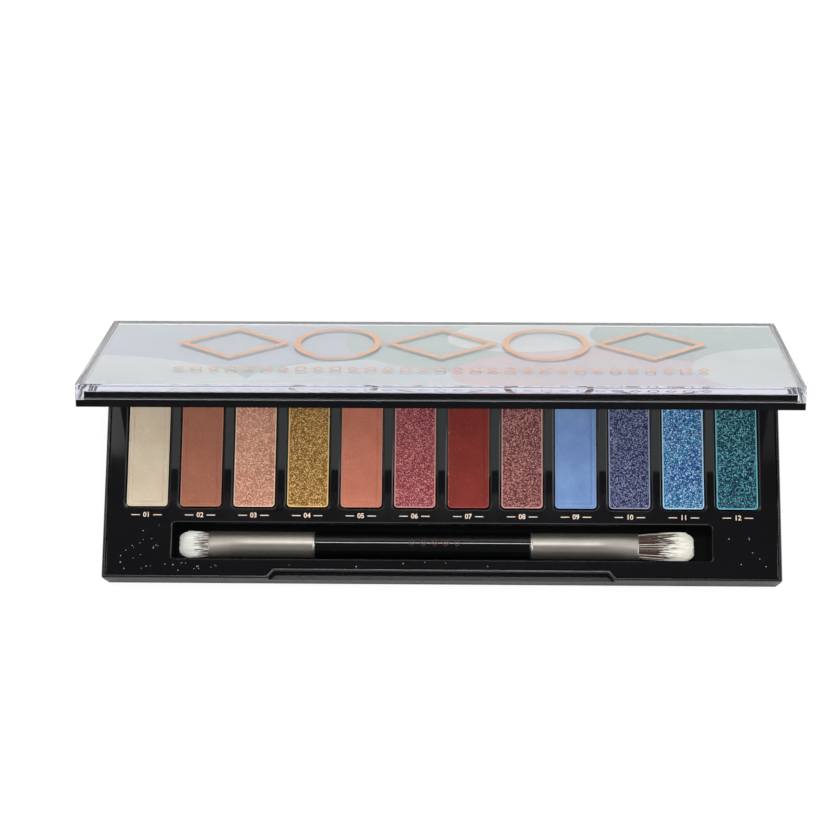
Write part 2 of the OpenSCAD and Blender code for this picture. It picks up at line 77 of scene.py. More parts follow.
log = logging.getLogger("palette")


# ----------------------------------------
# Modelling by hand, in code
# ----------------------------------------


def metres(x: float, y: float, z: float) -> Vector:
    """A point in millimetres as a vector in metres."""
    return Vector((x * MM, y * MM, z * MM))


def select_only(*pieces: Object) -> None:
    """Selects these objects alone and makes the first one active."""
    bpy.ops.object.select_all(action="DESELECT")
    for piece in pieces:
        piece.select_set(True)
    bpy.context.view_layer.objects.active = pieces[0]


@contextmanager
def editing(piece: Object) -> Iterator[None]:
    """Edit mode on one piece, with nothing selected at the start."""
    select_only(piece)
    bpy.ops.object.mode_set(mode="EDIT")
    bpy.ops.mesh.select_all(action="DESELECT")
    try:
        yield
    finally:
        bpy.ops.object.mode_set(mode="OBJECT")


def pick_faces(piece: Object, wanted: Test) -> None:
    """Selects faces in edit mode, and nothing else.

    Args:
        piece: The object in edit mode.
        wanted: A test on a face's middle in millimetres and its normal.
    """
    bpy.ops.mesh.select_mode(type="FACE")
    bpy.ops.mesh.select_all(action="DESELECT")
    shape = bmesh.from_edit_mesh(piece.data)
    shape.normal_update()
    for face in shape.faces:
        if wanted(face.calc_center_median() / MM, face.normal):
            face.select_set(True)
    bmesh.update_edit_mesh(piece.data)


def ease(piece: Object, wanted: Test, width: float, segments: int) -> None:
    """Bevels sharp edges in edit mode.

    Args:
        piece: The object in edit mode.
        wanted: A test on an edge's two ends in millimetres.
        width: The bevel's width in millimetres.
        segments: How many steps it has.
    """
    bpy.ops.mesh.select_mode(type="EDGE")
    bpy.ops.mesh.select_all(action="DESELECT")
    shape = bmesh.from_edit_mesh(piece.data)
    shape.normal_update()
    for edge in shape.edges:
        if edge.calc_face_angle(0.0) >= SHARP and wanted(*(v.co / MM for v in edge.verts)):
            edge.select_set(True)
    bmesh.update_edit_mesh(piece.data)
    bpy.ops.mesh.bevel(offset=width * MM, segments=segments, affect="EDGES")


def upright(a: Vector, b: Vector) -> bool:
    """True for an edge that stands straight up."""
    return math.hypot(a.x - b.x, a.y - b.y) < NEAR


def at_place(place: float, axis: str = "z") -> Test:
    """A test for edges that lie at one place along an axis, in millimetres."""
    return lambda a, b: all(abs(getattr(end, axis) - place) < LEVEL for end in (a, b))


def whole() -> None:
    """Selects everything in edit mode."""
    bpy.ops.mesh.select_all(action="SELECT")


def across(a: Vector, b: Vector) -> bool:
    """True for an edge that lies across the brush's axis."""
    return abs(a.x - b.x) < NEAR


def pull(x: float = 0.0, y: float = 0.0, z: float = 0.0) -> None:
    """Extrudes what is selected by a step in millimetres."""
    bpy.ops.mesh.extrude_region_move(TRANSFORM_OT_translate={"value": metres(x, y, z)})


def turn_x(angle: float, middle: Vector) -> None:
    """Turns what is selected about X by degrees, by the right hand rule."""
    bpy.ops.transform.rotate(
        value=math.radians(angle) * WINDOWLESS, orient_axis="X", center_override=middle
    )


def mend_normals() -> None:
    """Merges doubles and points all faces outwards, in edit mode."""
    whole()
    bpy.ops.mesh.remove_doubles(threshold=0.0005 * MM)
    bpy.ops.mesh.normals_make_consistent(inside=False)


def settle(piece: Object, name: str) -> Object:
    """Names a piece, moves its place, turn and scale into its mesh, and returns it."""
    piece.name = piece.data.name = name
    select_only(piece)
    bpy.ops.object.transform_apply(location=True, rotation=True, scale=True)
    return piece


def block(name: str, low: Point, high: Point) -> Object:
    """A block between two corners, as a start for a piece.

    Args:
        name: The piece's name.
        low: Its lowest corner in millimetres.
        high: Its highest corner in millimetres.

    Returns:
        The new object.
    """
    a, b = metres(*low), metres(*high)
    bpy.ops.object.select_all(action="DESELECT")
    bpy.ops.mesh.primitive_cube_add(size=1, location=(a + b) / 2)
    piece = bpy.context.active_object
    piece.scale = b - a
    return settle(piece, name)


def disc(
    name: str, middle: Point, radius: float, sides: int, turn: Point = (0.0, 0.0, 0.0)
) -> Object:
    """A flat disc, as a start for a turned piece or a printed mark.

    Args:
        name: The piece's name.
        middle: Its middle in millimetres.
        radius: Its radius in millimetres.
        sides: How many sides its outline has.
        turn: Its turn in degrees. Unturned, it faces up.

    Returns:
        The new object.
    """
    bpy.ops.object.select_all(action="DESELECT")
    bpy.ops.mesh.primitive_circle_add(
        vertices=sides, radius=radius * MM, fill_type="NGON", location=metres(*middle),
        rotation=[math.radians(v) for v in turn]
    )
    return settle(bpy.context.active_object, name)


def copied(piece: Object, name: str, shift: Point = (0.0, 0.0, 0.0)) -> Object:
    """A copy with its own mesh.

    Args:
        piece: What is copied.
        name: The copy's name.
        shift: How far it is moved, in millimetres.

    Returns:
        The copy.
    """
    select_only(piece)
    bpy.ops.object.duplicate(linked=False)
    twin = bpy.context.active_object
    twin.location = metres(*shift)
    return settle(twin, name)


def joined(name: str, pieces: list[Object]) -> Object:
    """Several objects as one piece, under the first one's mesh."""
    select_only(*pieces)
    bpy.ops.object.join()
    return settle(bpy.context.active_object, name)


def merged_copy(node: str, name: str) -> Object:
    """A copy of a CAD node with its loose triangles merged into one skin.

    Args:
        node: The CAD node.
        name: The copy's name.

    Returns:
        The new object.
    """
    piece = bpy.data.objects.new(name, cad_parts[node].data.copy())
    bpy.context.scene.collection.objects.link(piece)
    piece.data.name = name
    piece.data.materials.clear()
    with editing(piece):
        bpy.ops.mesh.customdata_custom_splitnormals_clear()
        whole()
        bpy.ops.mesh.remove_doubles(threshold=0.002 * MM)
    return piece


def smooth(piece: Object, angle: float = 32.0, weighted: bool = True) -> Object:
    """Shades a piece smooth up to an angle.

    Args:
        piece: The object.
        angle: Edges sharper than this many degrees stay sharp.
        weighted: Whether large flat faces keep their own normal beside soft edges.

    Returns:
        The same object.
    """
    select_only(piece)
    bpy.ops.object.shade_smooth_by_angle(angle=math.radians(angle))
    if weighted:
        flat = piece.modifiers.new("flat_faces", "WEIGHTED_NORMAL")
        flat.keep_sharp = True
        bpy.ops.object.modifier_apply(modifier=flat.name)
    return piece


def level_shading(piece: Object, z: float) -> None:
    """Lets every corner that touches a level face shade as that face does.

    Args:
        piece: The object.
        z: The height of the level faces, in millimetres.
    """
    mesh = piece.data
    level = {
        corner for face in mesh.polygons if face.normal.z > 0.9999 and abs(
            face.center.z - z * MM
        ) < TOUCH for corner in face.vertices
    }
    normals = [corner.vector.copy() for corner in mesh.corner_normals]
    for loop in mesh.loops:
        if loop.vertex_index in level and normals[loop.index].z > 0.7:
            normals[loop.index] = Vector((0.0, 0.0, 1.0))
    mesh.normals_split_custom_set(normals)


# ----------------------------------------
# Materials
# ----------------------------------------


def srgb(code: str) -> tuple[float, float, float, float]:
    """An sRGB hex colour, such as "#cdb69a", as linear red, green, blue and alpha."""
    parts = [int(code[i : i + 2], 16) / 255 for i in (1, 3, 5)]
    linear = [p / 12.92 if p <= 0.04045 else ((p + 0.055) / 1.055) ** 2.4 for p in parts]
    return *linear, 1.0


def per(size: float) -> float:
    """A texture's scale for a feature of that size in millimetres."""
    return 1 / (size * MM)


def in_use(sockets: bpy.types.bpy_prop_collection, name: str = "") -> Socket:
    """The first of a node's sockets that its options leave in use, or the first of that name."""
    return next(s for s in sockets if s.enabled and name in ("", s.name))


def feed(tree: Tree, node: Node, inputs: Inputs) -> None:
    """Gives a node's inputs their values and links.

    Args:
        tree: The node tree.
        node: The node.
        inputs: For each input, by its name or number, a value, an output socket, or a node whose
            first output in use is taken.
    """
    for key, value in inputs.items():
        socket = in_use(node.inputs, key) if isinstance(key, str) else node.inputs[key]
        if isinstance(value, Node):
            value = in_use(value.outputs)
        if isinstance(value, Socket):
            tree.links.new(value, socket)
        else:
            socket.default_value = value


def add(tree: Tree, kind: str, inputs: Inputs | None = None, **settings: object) -> Node:
    """Adds a node with its settings and links.

    Args:
        tree: The node tree.
        kind: The node's type, without the "ShaderNode" in front.
        inputs: What goes into its inputs, as feed takes it.
        **settings: The node's own options.

    Returns:
        The new node.
    """
    node = tree.nodes.new("ShaderNode" + kind)
    for option, value in settings.items():
        setattr(node, option, value)
    feed(tree, node, inputs or {})
    return node


def emptied(owner: bpy.types.Material | bpy.types.World) -> Tree:
    """The node tree of a new material or world, with nothing in it."""
    owner.use_nodes = True
    owner.node_tree.nodes.clear()
    return owner.node_tree


def surface(
    tree: Tree, shader: Node, tone: tuple[Node, str, str] | Node,
    polish: tuple[Node | Socket | float, ...], relief: tuple[Node, float, float] | None = None,
    fixed: Inputs | None = None
) -> None:
    """Dresses a shader: its colour, its uneven polish and its relief.

    Args:
        tree: The material's nodes.
        shader: Its principled shader.
        tone: A pattern and the two colours that it mixes, or the colour's own node.
        polish: A pattern, the least and the most roughness, and where on the pattern they lie.
        relief: A pattern, its strength and its height in millimetres.
        fixed: What is the same all over.
    """
    if isinstance(tone, tuple):
        pattern, first, second = tone
        tone = add(
            tree, "Mix", {0: pattern, "A": srgb(first), "B": srgb(second)}, data_type="RGBA"
        )
    keys = ("Value", "To Min", "To Max", "From Min", "From Max")
    rough = add(tree, "MapRange", dict(zip(keys, polish)))
    feed(tree, shader, {"Base Color": tone, "Roughness": rough, **(fixed or {})})
    if relief:
        height, strength, depth = relief
        bump = add(tree, "Bump", {"Height": height, "Strength": strength, "Distance": depth * MM})
        feed(tree, shader, {"Normal": bump})


@dataclass(frozen=True)
class Finish:
    """A surface finish, made once as a procedural material."""

    name: str

    def material(self) -> bpy.types.Material:
        """The material, which is built on its first use."""
        known = bpy.data.materials.get(self.name)
        if known is not None:
            return known
        material = bpy.data.materials.new(self.name)
        tree = emptied(material)
        shader = add(tree, "BsdfPrincipled")
        add(tree, "OutputMaterial", {"Surface": shader})
        self.paint(tree, shader, add(tree, "TexCoord").outputs["Object"])
        return material

    def paint(self, tree: Tree, shader: Node, where: Socket) -> None:
        """Adds the finish's own nodes.

        Args:
            tree: The material's nodes.
            shader: Its principled shader.
            where: The object coordinates, in metres.
        """
        raise NotImplementedError


@dataclass(frozen=True)
class GlossPlastic(Finish):
    """Injection-moulded black styrene plastic: deep gloss, faint orange peel and handling haze."""

    light: str = "#131316"
    dark: str = "#0a0a0c"
    gloss: float = 0.1
    haze: float = 0.06
    peel: float = 3.0

    def paint(self, tree: Tree, shader: Node, where: Socket) -> None:
        """Black with a slow drift of tone, uneven polish and the peel of a moulded skin."""
        flow, wipe, peel = (
            add(tree, "TexNoise", {"Vector": where, "Scale": per(size), "Detail": detail})
            for size, detail in ((28, 3.0), (9, 5.0), (self.peel, 1.0))
        )
        polish = (wipe, self.gloss, self.gloss + self.haze, 0.35, 0.7)
        relief = (peel, 0.25, 0.01)
        surface(tree, shader, (flow, self.dark, self.light), polish, relief, {"IOR": 1.53})


@dataclass(frozen=True)
class DrawnTin(Finish):
    """Deep-drawn tinplate: bright metal with fine draw lines, and powder dust on its rim."""

    dust: str
    cover: float
    dust_z: float = 12.4
    dust_edge: float = 0.1
    dust_roughness: float = 0.85
    colour: str = "#dcd8d0"
    shade: str = "#b0aca4"
    roughness: float = 0.22

    def paint(self, tree: Tree, shader: Node, where: Socket) -> None:
        """Draw lines 0.3 mm apart down the wall, and patches of dust above a height."""
        new = partial(add, tree)
        drawn = new("Mapping", {"Vector": where, "Scale": (1.0, 1.0, 0.06)})
        lines = new("TexNoise", {"Vector": drawn, "Scale": per(0.3), "Detail": 2.0})
        height = new("SeparateXYZ", {"Vector": where}).outputs["Z"]
        low, high = self.dust_z * MM, (self.dust_z + self.dust_edge) * MM
        rim = new("MapRange", {"Value": height, "From Min": low, "From Max": high})
        patches = new("TexNoise", {"Vector": where, "Scale": per(1.6), "Detail": 4.0})
        least = 0.56 - 0.35 * self.cover
        ends = {"From Min": least + 0.1, "From Max": least, "To Min": 1.0, "To Max": 0.0}
        held = new("MapRange", {"Value": patches, **ends})
        dusty = new("Math", {0: held, 1: rim}, operation="MULTIPLY")
        both = {"A": srgb(self.colour), "B": srgb(self.shade)}
        tin = new("Mix", {0: lines, **both}, data_type="RGBA")
        tone = new("Mix", {0: dusty, "A": tin, "B": srgb(self.dust)}, data_type="RGBA")
        ends = {"To Min": self.roughness - 0.06, "To Max": self.roughness + 0.1}
        bare = new("MapRange", {"Value": lines, **ends})
        rough = new("Mix", {0: dusty, "A": bare, "B": self.dust_roughness})
        metal = new("Math", {0: 1.0, 1: dusty}, operation="SUBTRACT")
        bump = new("Bump", {"Height": lines, "Strength": 0.3, "Distance": 0.01 * MM})
        sockets = {"Base Color": tone, "Roughness": rough, "Metallic": metal, "Normal": bump}
        feed(tree, shader, sockets)


@dataclass(frozen=True)
class SatinMetal(Finish):
    """Satin anodised or plated metal, turned: fine rings across its length, soft sheen."""

    colour: str = "#f4ebe0"
    shade: str = "#d8d1c4"
    roughness: float = 0.4
    ring: float = 0.16
    depth: float = 0.004

    def paint(self, tree: Tree, shader: Node, where: Socket) -> None:
        """Rings of the lathe, drawn about as wide as they need to show, and a worn sheen."""
        across = add(tree, "Mapping", {"Vector": where, "Scale": (1.0, 0.02, 0.02)})
        rings = add(tree, "TexNoise", {"Vector": across, "Scale": per(self.ring), "Detail": 3.0})
        cloud = add(tree, "TexNoise", {"Vector": where, "Scale": per(5), "Detail": 4.0})
        polish = (rings, self.roughness - 0.04, self.roughness + 0.06)
        relief = (rings, 0.3, self.depth)
        surface(tree, shader, (cloud, self.colour, self.shade), polish, relief, {"Metallic": 1.0})


class Press(Enum):
    """How a powder was made: its flakes' size in millimetres, tilt, share, depth and metal."""

    MATTE = (0.2, 0.0, 0.04, 0.06, 0.0)
    SATIN = (0.21, 0.2, 0.3, 0.28, 0.2)
    SHIMMER = (0.21, 0.3, 0.32, 0.68, 0.3)
    GLITTER = (0.22, 0.4, 0.26, 0.9, 0.35)


@dataclass(frozen=True)
class PressedPowder(Finish):
    """Talc and mica pigment pressed in its pan: dry and soft, with pearl flakes or glitter."""

    colour: str
    drift: str
    glint: str
    press: Press

    def paint(self, tree: Tree, shader: Node, where: Socket) -> None:
        """Flakes of a lighter tone, partly their own and partly a painted glint, and of their own
        tilt, over two slowly changing hues and a fine grain.
        """
        size, tilt, share, depth, metal = self.press.value
        new = partial(add, tree)
        drift, mottle, grain = (
            new("TexNoise", {"Vector": where, "Scale": per(wide), "Detail": detail})
            for wide, detail in ((9, 2.0), (4, 3.0), (0.25, 3.0))
        )
        turned = new("MapRange", {"Value": drift, "From Min": 0.38, "From Max": 0.62})
        hues = {"A": srgb(self.colour), "B": srgb(self.drift)}
        hue = new("Mix", {0: turned, **hues}, data_type="RGBA")
        flakes = new("TexVoronoi", {"Vector": where, "Scale": per(size)}).outputs["Color"]
        red, green, blue = new("SeparateColor", {"Color": flakes}).outputs
        ends = {"From Min": 1 - share, "From Max": 1 - share * 0.6}
        bright = new("MapRange", {"Value": red, **ends})
        deep = new("MapRange", {"Value": green, "From Max": 0.5, "To Min": 1 - depth})
        value = new("MapRange", {"Value": mottle, "To Min": 0.92, "To Max": 1.08})
        dust = new("MapRange", {"Value": grain, "To Min": 0.94, "To Max": 1.06})
        level = new("Math", {0: value, 1: dust}, operation="MULTIPLY")
        lightness = new("Math", {0: level, 1: deep}, operation="MULTIPLY")
        body = new("VectorMath", {0: hue, "Scale": lightness}, operation="SCALE")
        # The flakes' lighter colour is partly their own pearl tone and partly a painted glint
        tone = new("Mix", {0: bright, "A": body, "B": srgb(self.glint)}, data_type="RGBA")
        normal = new("Bump", {"Height": grain, "Strength": 0.5, "Distance": 0.03 * MM})
        if tilt:
            centred = new("VectorMath", {0: flakes, 1: (0.5, 0.5, 0.5)}, operation="SUBTRACT")
            leaned = new("VectorMath", {0: centred, "Scale": 2 * tilt}, operation="SCALE")
            mixed = new("VectorMath", {0: normal, 1: leaned}, operation="ADD")
            normal = new("VectorMath", {0: mixed}, operation="NORMALIZE")
        fixed = {
            "Normal": normal, "Metallic": metal, "Specular IOR Level": 0.3,
            "Sheen Weight": 0.05 if metal else 0.15, "Sheen Roughness": 0.5,
        }
        polish = (blue, 0.78 - 0.6 * tilt, 0.95 - 0.8 * tilt)
        surface(tree, shader, tone, polish, fixed=fixed)


@dataclass(frozen=True)
class Lacquer(Finish):
    """Black lacquered handle: dark stain under a thick, hard clear coat."""

    colour: str = "#050607"
    worn: str = "#0c0d0f"

    def paint(self, tree: Tree, shader: Node, where: Socket) -> None:
        """Lacquer that pools in long slow waves, with haze from fingers."""
        along = add(tree, "Mapping", {"Vector": where, "Scale": (0.25, 1.0, 1.0)})
        pool = add(tree, "TexNoise", {"Vector": along, "Scale": per(3), "Detail": 2.0})
        tone, polish = (pool, self.colour, self.worn), (pool, 0.06, 0.16)
        fixed = {"Coat Weight": 0.6, "Coat Roughness": 0.04}
        surface(tree, shader, tone, polish, (pool, 0.15, 0.01), fixed)


@dataclass(frozen=True)
class DyedHair(Finish):
    """Tapered synthetic hair, dyed dark at the root and left pale at the tip."""

    tip: str
    root: str
    least: float
    band: float

    def paint(self, tree: Tree, shader: Node, where: Socket) -> None:
        """Each hair ends its dark band at its own length, and has its own tone."""
        new = partial(add, tree)
        strand, reach = (
            new("Attribute", attribute_name=name).outputs["Fac"] for name in ("strand", "reach")
        )
        grain = new("TexNoise", {"Vector": where, "Scale": per(0.4), "Detail": 2.0})
        own = new("TexWhiteNoise", {"W": strand}, noise_dimensions="1D")
        along = new("Mapping", {"Vector": where, "Scale": (0.05, 1.0, 1.0)})
        clump = new("TexNoise", {"Vector": along, "Scale": per(0.3), "Detail": 1.0})
        place = {"Vector": along, "Scale": per(0.36), "W": 4.0}
        lock = new("TexNoise", place, noise_dimensions="4D")
        ends = {"To Min": self.least, "To Max": self.band}
        end = new("MapRange", {"Value": clump, "From Min": 0.32, "From Max": 0.66, **ends})
        # About one hair in nine isn't dyed
        undyed = new("MapRange", {"Value": own, "From Min": 0.86, "From Max": 0.92})
        grown = new("Math", {0: reach, 1: undyed}, operation="ADD")
        past = new("Math", {0: grown, 1: end}, operation="SUBTRACT")
        edge = {"Value": past, "From Min": -0.03, "From Max": 0.06}
        pale = new("MapRange", edge, interpolation_type="SMOOTHSTEP")
        tone = new("Mix", {0: pale, "A": srgb(self.root), "B": srgb(self.tip)}, data_type="RGBA")
        single = new("MapRange", {"Value": own, "To Min": 0.88, "To Max": 1.02})
        ends = {"From Min": 0.36, "From Max": 0.6, "To Min": 0.93, "To Max": 1.0}
        locks = new("MapRange", {"Value": lock, **ends})
        value = new("Math", {0: single, 1: locks}, operation="MULTIPLY")
        shade = new("VectorMath", {0: tone, "Scale": value}, operation="SCALE")
        relief = (grain, 0.2, 0.02)
        surface(tree, shader, shade, (grain, 0.45, 0.65), relief, {"Sheen Weight": 0.15})


@dataclass(frozen=True)
class ClearAcrylic(Finish):
    """Cast clear acrylic: water-clear, polished, with the faint haze of handling."""

    tint: str = "#fafbfc"
    clear: str = "#ffffff"
    depth: str = "#c9cce6"
    density: float = 8.0

    def paint(self, tree: Tree, shader: Node, where: Socket) -> None:
        """Clear body with a whisper of haze, a nearly flat skin and a faint violet depth."""
        haze = add(tree, "TexNoise", {"Vector": where, "Scale": per(14), "Detail": 4.0})
        tone, polish = (haze, self.tint, self.clear), (haze, 0.0, 0.03, 0.4, 0.8)
        fixed = {"Transmission Weight": 1.0, "IOR": 1.49}
        surface(tree, shader, tone, polish, (haze, 0.05, 0.02), fixed)
        held = {"Color": srgb(self.depth), "Density": self.density}
        output = in_use(shader.outputs).links[0].to_node
        feed(tree, output, {"Volume": add(tree, "VolumeAbsorption", held)})


@dataclass(frozen=True)
class Blot:
    """One soft shape of the card, in lid millimetres: x from the middle, y from the front."""

    x: float
    y: float
    wide: float
    deep: float
    lean: float
    colour: str


@dataclass(frozen=True)
class PrintedCard(Finish):
    """Coated card printed with plain overlapping pastel shapes, with a fine paper tooth."""

    blots: tuple[Blot, ...]
    placing: "Hinge"
    ground: str = "#a9c4c2"

    def paint(self, tree: Tree, shader: Node, where: Socket) -> None:
        """Rounded shapes laid over each other in the lid's own plane."""
        new = partial(add, tree)
        place = self.placing.unfold(tree, where)
        tone: Node | tuple[float, ...] = srgb(self.ground)
        for blot in self.blots:
            laid = {
                "Vector": place, "Location": metres(blot.x, blot.y, 0.0),
                "Rotation": (0.0, 0.0, math.radians(blot.lean)),
                "Scale": (blot.wide * MM, blot.deep * MM, 1.0)
            }
            local = new("Mapping", laid, vector_type="TEXTURE")
            flat = new("VectorMath", {0: local, 1: (1.0, 1.0, 0.0)}, operation="MULTIPLY")
            away = new("VectorMath", {0: flat}, operation="LENGTH")
            inside = new("MapRange", {"Value": away, "From Min": 1.0, "From Max": 0.985})
            fade = new("MapRange", {"Value": away, "To Min": 0.55})
            share = new("Math", {0: inside, 1: fade}, operation="MULTIPLY")
            tone = new("Mix", {0: share, "A": tone, "B": srgb(blot.colour)}, data_type="RGBA")
        tooth = new("TexNoise", {"Vector": where, "Scale": per(0.5), "Detail": 3.0})
        value = new("MapRange", {"Value": tooth, "To Min": 0.97, "To Max": 1.03})
        shade = new("VectorMath", {0: tone, "Scale": value}, operation="SCALE")
        surface(tree, shader, shade, (tooth, 0.4, 0.55), (tooth, 0.1, 0.01))


@dataclass(frozen=True)
class HotFoil(Finish):
    """Hot-stamped metal foil: soft metallic film with fine crinkle."""

    colour: str = "#ecc3a4"
    shade: str = "#d9a684"
    metal: float = 0.85

    def paint(self, tree: Tree, shader: Node, where: Socket) -> None:
        """A film whose tone drifts over 6 mm and whose skin crinkles at 0.5 mm."""
        drift = add(tree, "TexNoise", {"Vector": where, "Scale": per(6), "Detail": 3.0})
        crinkle = add(tree, "TexNoise", {"Vector": where, "Scale": per(0.5), "Detail": 2.0})
        tone, polish = (drift, self.colour, self.shade), (crinkle, 0.25, 0.45)
        surface(tree, shader, tone, polish, (crinkle, 0.2, 0.01), {"Metallic": self.metal})


@dataclass(frozen=True)
class SilveredGlass(Finish):
    """Float glass silvered behind: a clean mirror with faint wipe marks."""

    colour: str = "#e9ecec"
    shade: str = "#dfe5e3"

    def paint(self, tree: Tree, shader: Node, where: Socket) -> None:
        """Silver with a trace of the glass's green, and wipe marks that only just show."""
        wipe = add(tree, "TexNoise", {"Vector": where, "Scale": per(20), "Detail": 4.0})
        tone, polish = (wipe, self.colour, self.shade), (wipe, 0.01, 0.04, 0.4, 0.8)
        surface(tree, shader, tone, polish, fixed={"Metallic": 1.0})


@dataclass(frozen=True)
class Grained(Finish):
    """A plain part's surface with a grain: plated steel, nickel, foam, glue or dry specks."""

    colour: str
    shade: str
    grit: float
    depth: float
    roughness: float
    metal: float = 0.0

    def paint(self, tree: Tree, shader: Node, where: Socket) -> None:
        """Two tones mixed by a grain of real size, which also roughens and lifts the surface."""
        grain = add(tree, "TexNoise", {"Vector": where, "Scale": per(self.grit), "Detail": 4.0})
        tone = (grain, self.colour, self.shade)
        polish = (grain, self.roughness * 0.8, self.roughness * 1.2)
        surface(tree, shader, tone, polish, (grain, 0.4, self.depth), {"Metallic": self.metal})


# ----------------------------------------
# What every piece goes through at the end
# ----------------------------------------


def hand_over(
    piece: Object, body: str, finish: Finish, stands_for: tuple[str, ...] = ()
) -> Object:
    """Dresses a finished piece and gives it to the body that carries it.

    Args:
        piece: The piece, or a CAD node that stays.
        body: The body it rides on.
        finish: Its finish.
        stands_for: The CAD nodes that it replaces.

    Returns:
        The same piece.
    """
    piece.data.materials.clear()
    piece.data.materials.append(finish.material())
    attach(piece, body)
    if stands_for:
        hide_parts(*stands_for)
    log.info("%s: %d faces, rides on %s", piece.name, len(piece.data.polygons), body)
    return piece


def dress_node(node: str, finish: Finish) -> None:
    """Gives a CAD node that stays its finish."""
    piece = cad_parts[node]
    if piece.material_slots:
        for held in piece.material_slots:
            held.material = finish.material()
    else:
        piece.data.materials.append(finish.material())
    log.info("%s: CAD node, dressed as %s", node, finish.name)


@dataclass(frozen=True)
class Hinge:
    """The lid's hinge: places given on the closed lid are turned to the open rest pose."""

    axis_y: float = 32.3
    axis_z: float = 9.2
    angle: float = 61.0
    front_y: float = -36.3
    lid_z: float = 13.45

    def matrix(self) -> Matrix:
        """The turn from the closed lid to the lid at rest, in metres."""
        axis = Matrix.Translation(metres(0.0, self.axis_y, self.axis_z))
        turn = Matrix.Rotation(-math.radians(self.angle), 4, "X")
        return axis @ turn @ axis.inverted()

    def open(self, piece: Object) -> Object:
        """Turns a piece that was built on the closed lid to the rest pose, and returns it."""
        piece.matrix_world = self.matrix()
        return settle(piece, piece.name)

    def unfold(self, tree: Tree, where: Socket) -> Node:
        """Turns object coordinates back onto the closed lid.

        Args:
            tree: The material's nodes.
            where: The object coordinates.

        Returns:
            Coordinates in metres: x from the middle, y from the lid's front edge.
        """
        turn = Matrix.Rotation(math.radians(self.angle), 3, "X")
        axis = metres(0.0, self.axis_y, self.axis_z)
        shift = axis - turn @ axis - metres(0.0, self.front_y, 0.0)
        turned = {"Location": shift, "Rotation": (math.radians(self.angle), 0.0, 0.0)}
        return add(tree, "Mapping", {"Vector": where, **turned})


HINGE = Hinge()

# Glossy moulded styrene of the tray: nearly a mirror
TRAY_PLASTIC = GlossPlastic("moulded_gloss_black_styrene", gloss=0.045, haze=0.02)
# The tub and the lid frame are the same plastic from a tool with a plainer polish
CASE_PLASTIC = GlossPlastic(
    "moulded_satin_black_styrene", light="#17171a", dark="#0d0d10", gloss=0.2, haze=0.1
)
LID_PLASTIC = GlossPlastic("moulded_black_lid_styrene", gloss=0.12, haze=0.08)
# Champagne anodised ferrules: a warm, soft band of light along the tube
FERRULE = SatinMetal("champagne_anodised_aluminium")
COLLAR = SatinMetal(
    "polished_nickel_ring", colour="#f4f1ec", shade="#dedad2", roughness=0.32, ring=0.3
)
HANDLE = Lacquer("black_lacquered_wood")
LEFT_HAIR = DyedHair("taklon_hair_short", tip="#fbfaf5", root="#604a3e", least=0.0, band=0.48)
RIGHT_HAIR = DyedHair("taklon_hair_long", tip="#fffdf2", root="#46291d", least=0.3, band=0.7)
ACRYLIC = ClearAcrylic("clear_cast_acrylic")
# Set adhesive under the cover's walls, which clear edges show as a pale line; its pale tone is
# partly a painted light that brightens the clear walls
BOND_AND_PAINTED_LIGHT = Grained("acrylic_adhesive_film_painted_light", "#c4c6cc", "#b0b2b8", 0.6, 0.002, 0.7)
GOLD_FOIL = HotFoil("rose_gold_foil")
NUMBER_FOIL = HotFoil("rose_gold_print", colour="#ffe8d6", shade="#e8c8b2", metal=0.1)
HANDLE_FOIL = HotFoil("copper_print", colour="#6c4434", shade="#50342a", metal=0.6)
MIRROR = SilveredGlass("silvered_float_glass")
STEEL = Grained("ground_steel", "#c9cacb", "#9ea0a2", 0.2, 0.004, 0.25, 1.0)
NICKEL = Grained("nickel_plated_magnet", "#d2d0cb", "#b0aea8", 0.5, 0.004, 0.2, 1.0)
FOAM_TAPE = Grained("acrylic_foam_tape", "#26262a", "#17171a", 0.3, 0.03, 0.8)
HOT_GLUE = Grained("hot_melt_glue", "#e6dfc4", "#d3caa8", 1.2, 0.02, 0.35)
SPECKS = Grained("dry_powder_specks", "#ffffff", "#ece8e2", 0.1, 0.01, 0.8)


# ----------------------------------------
# Case
# ----------------------------------------


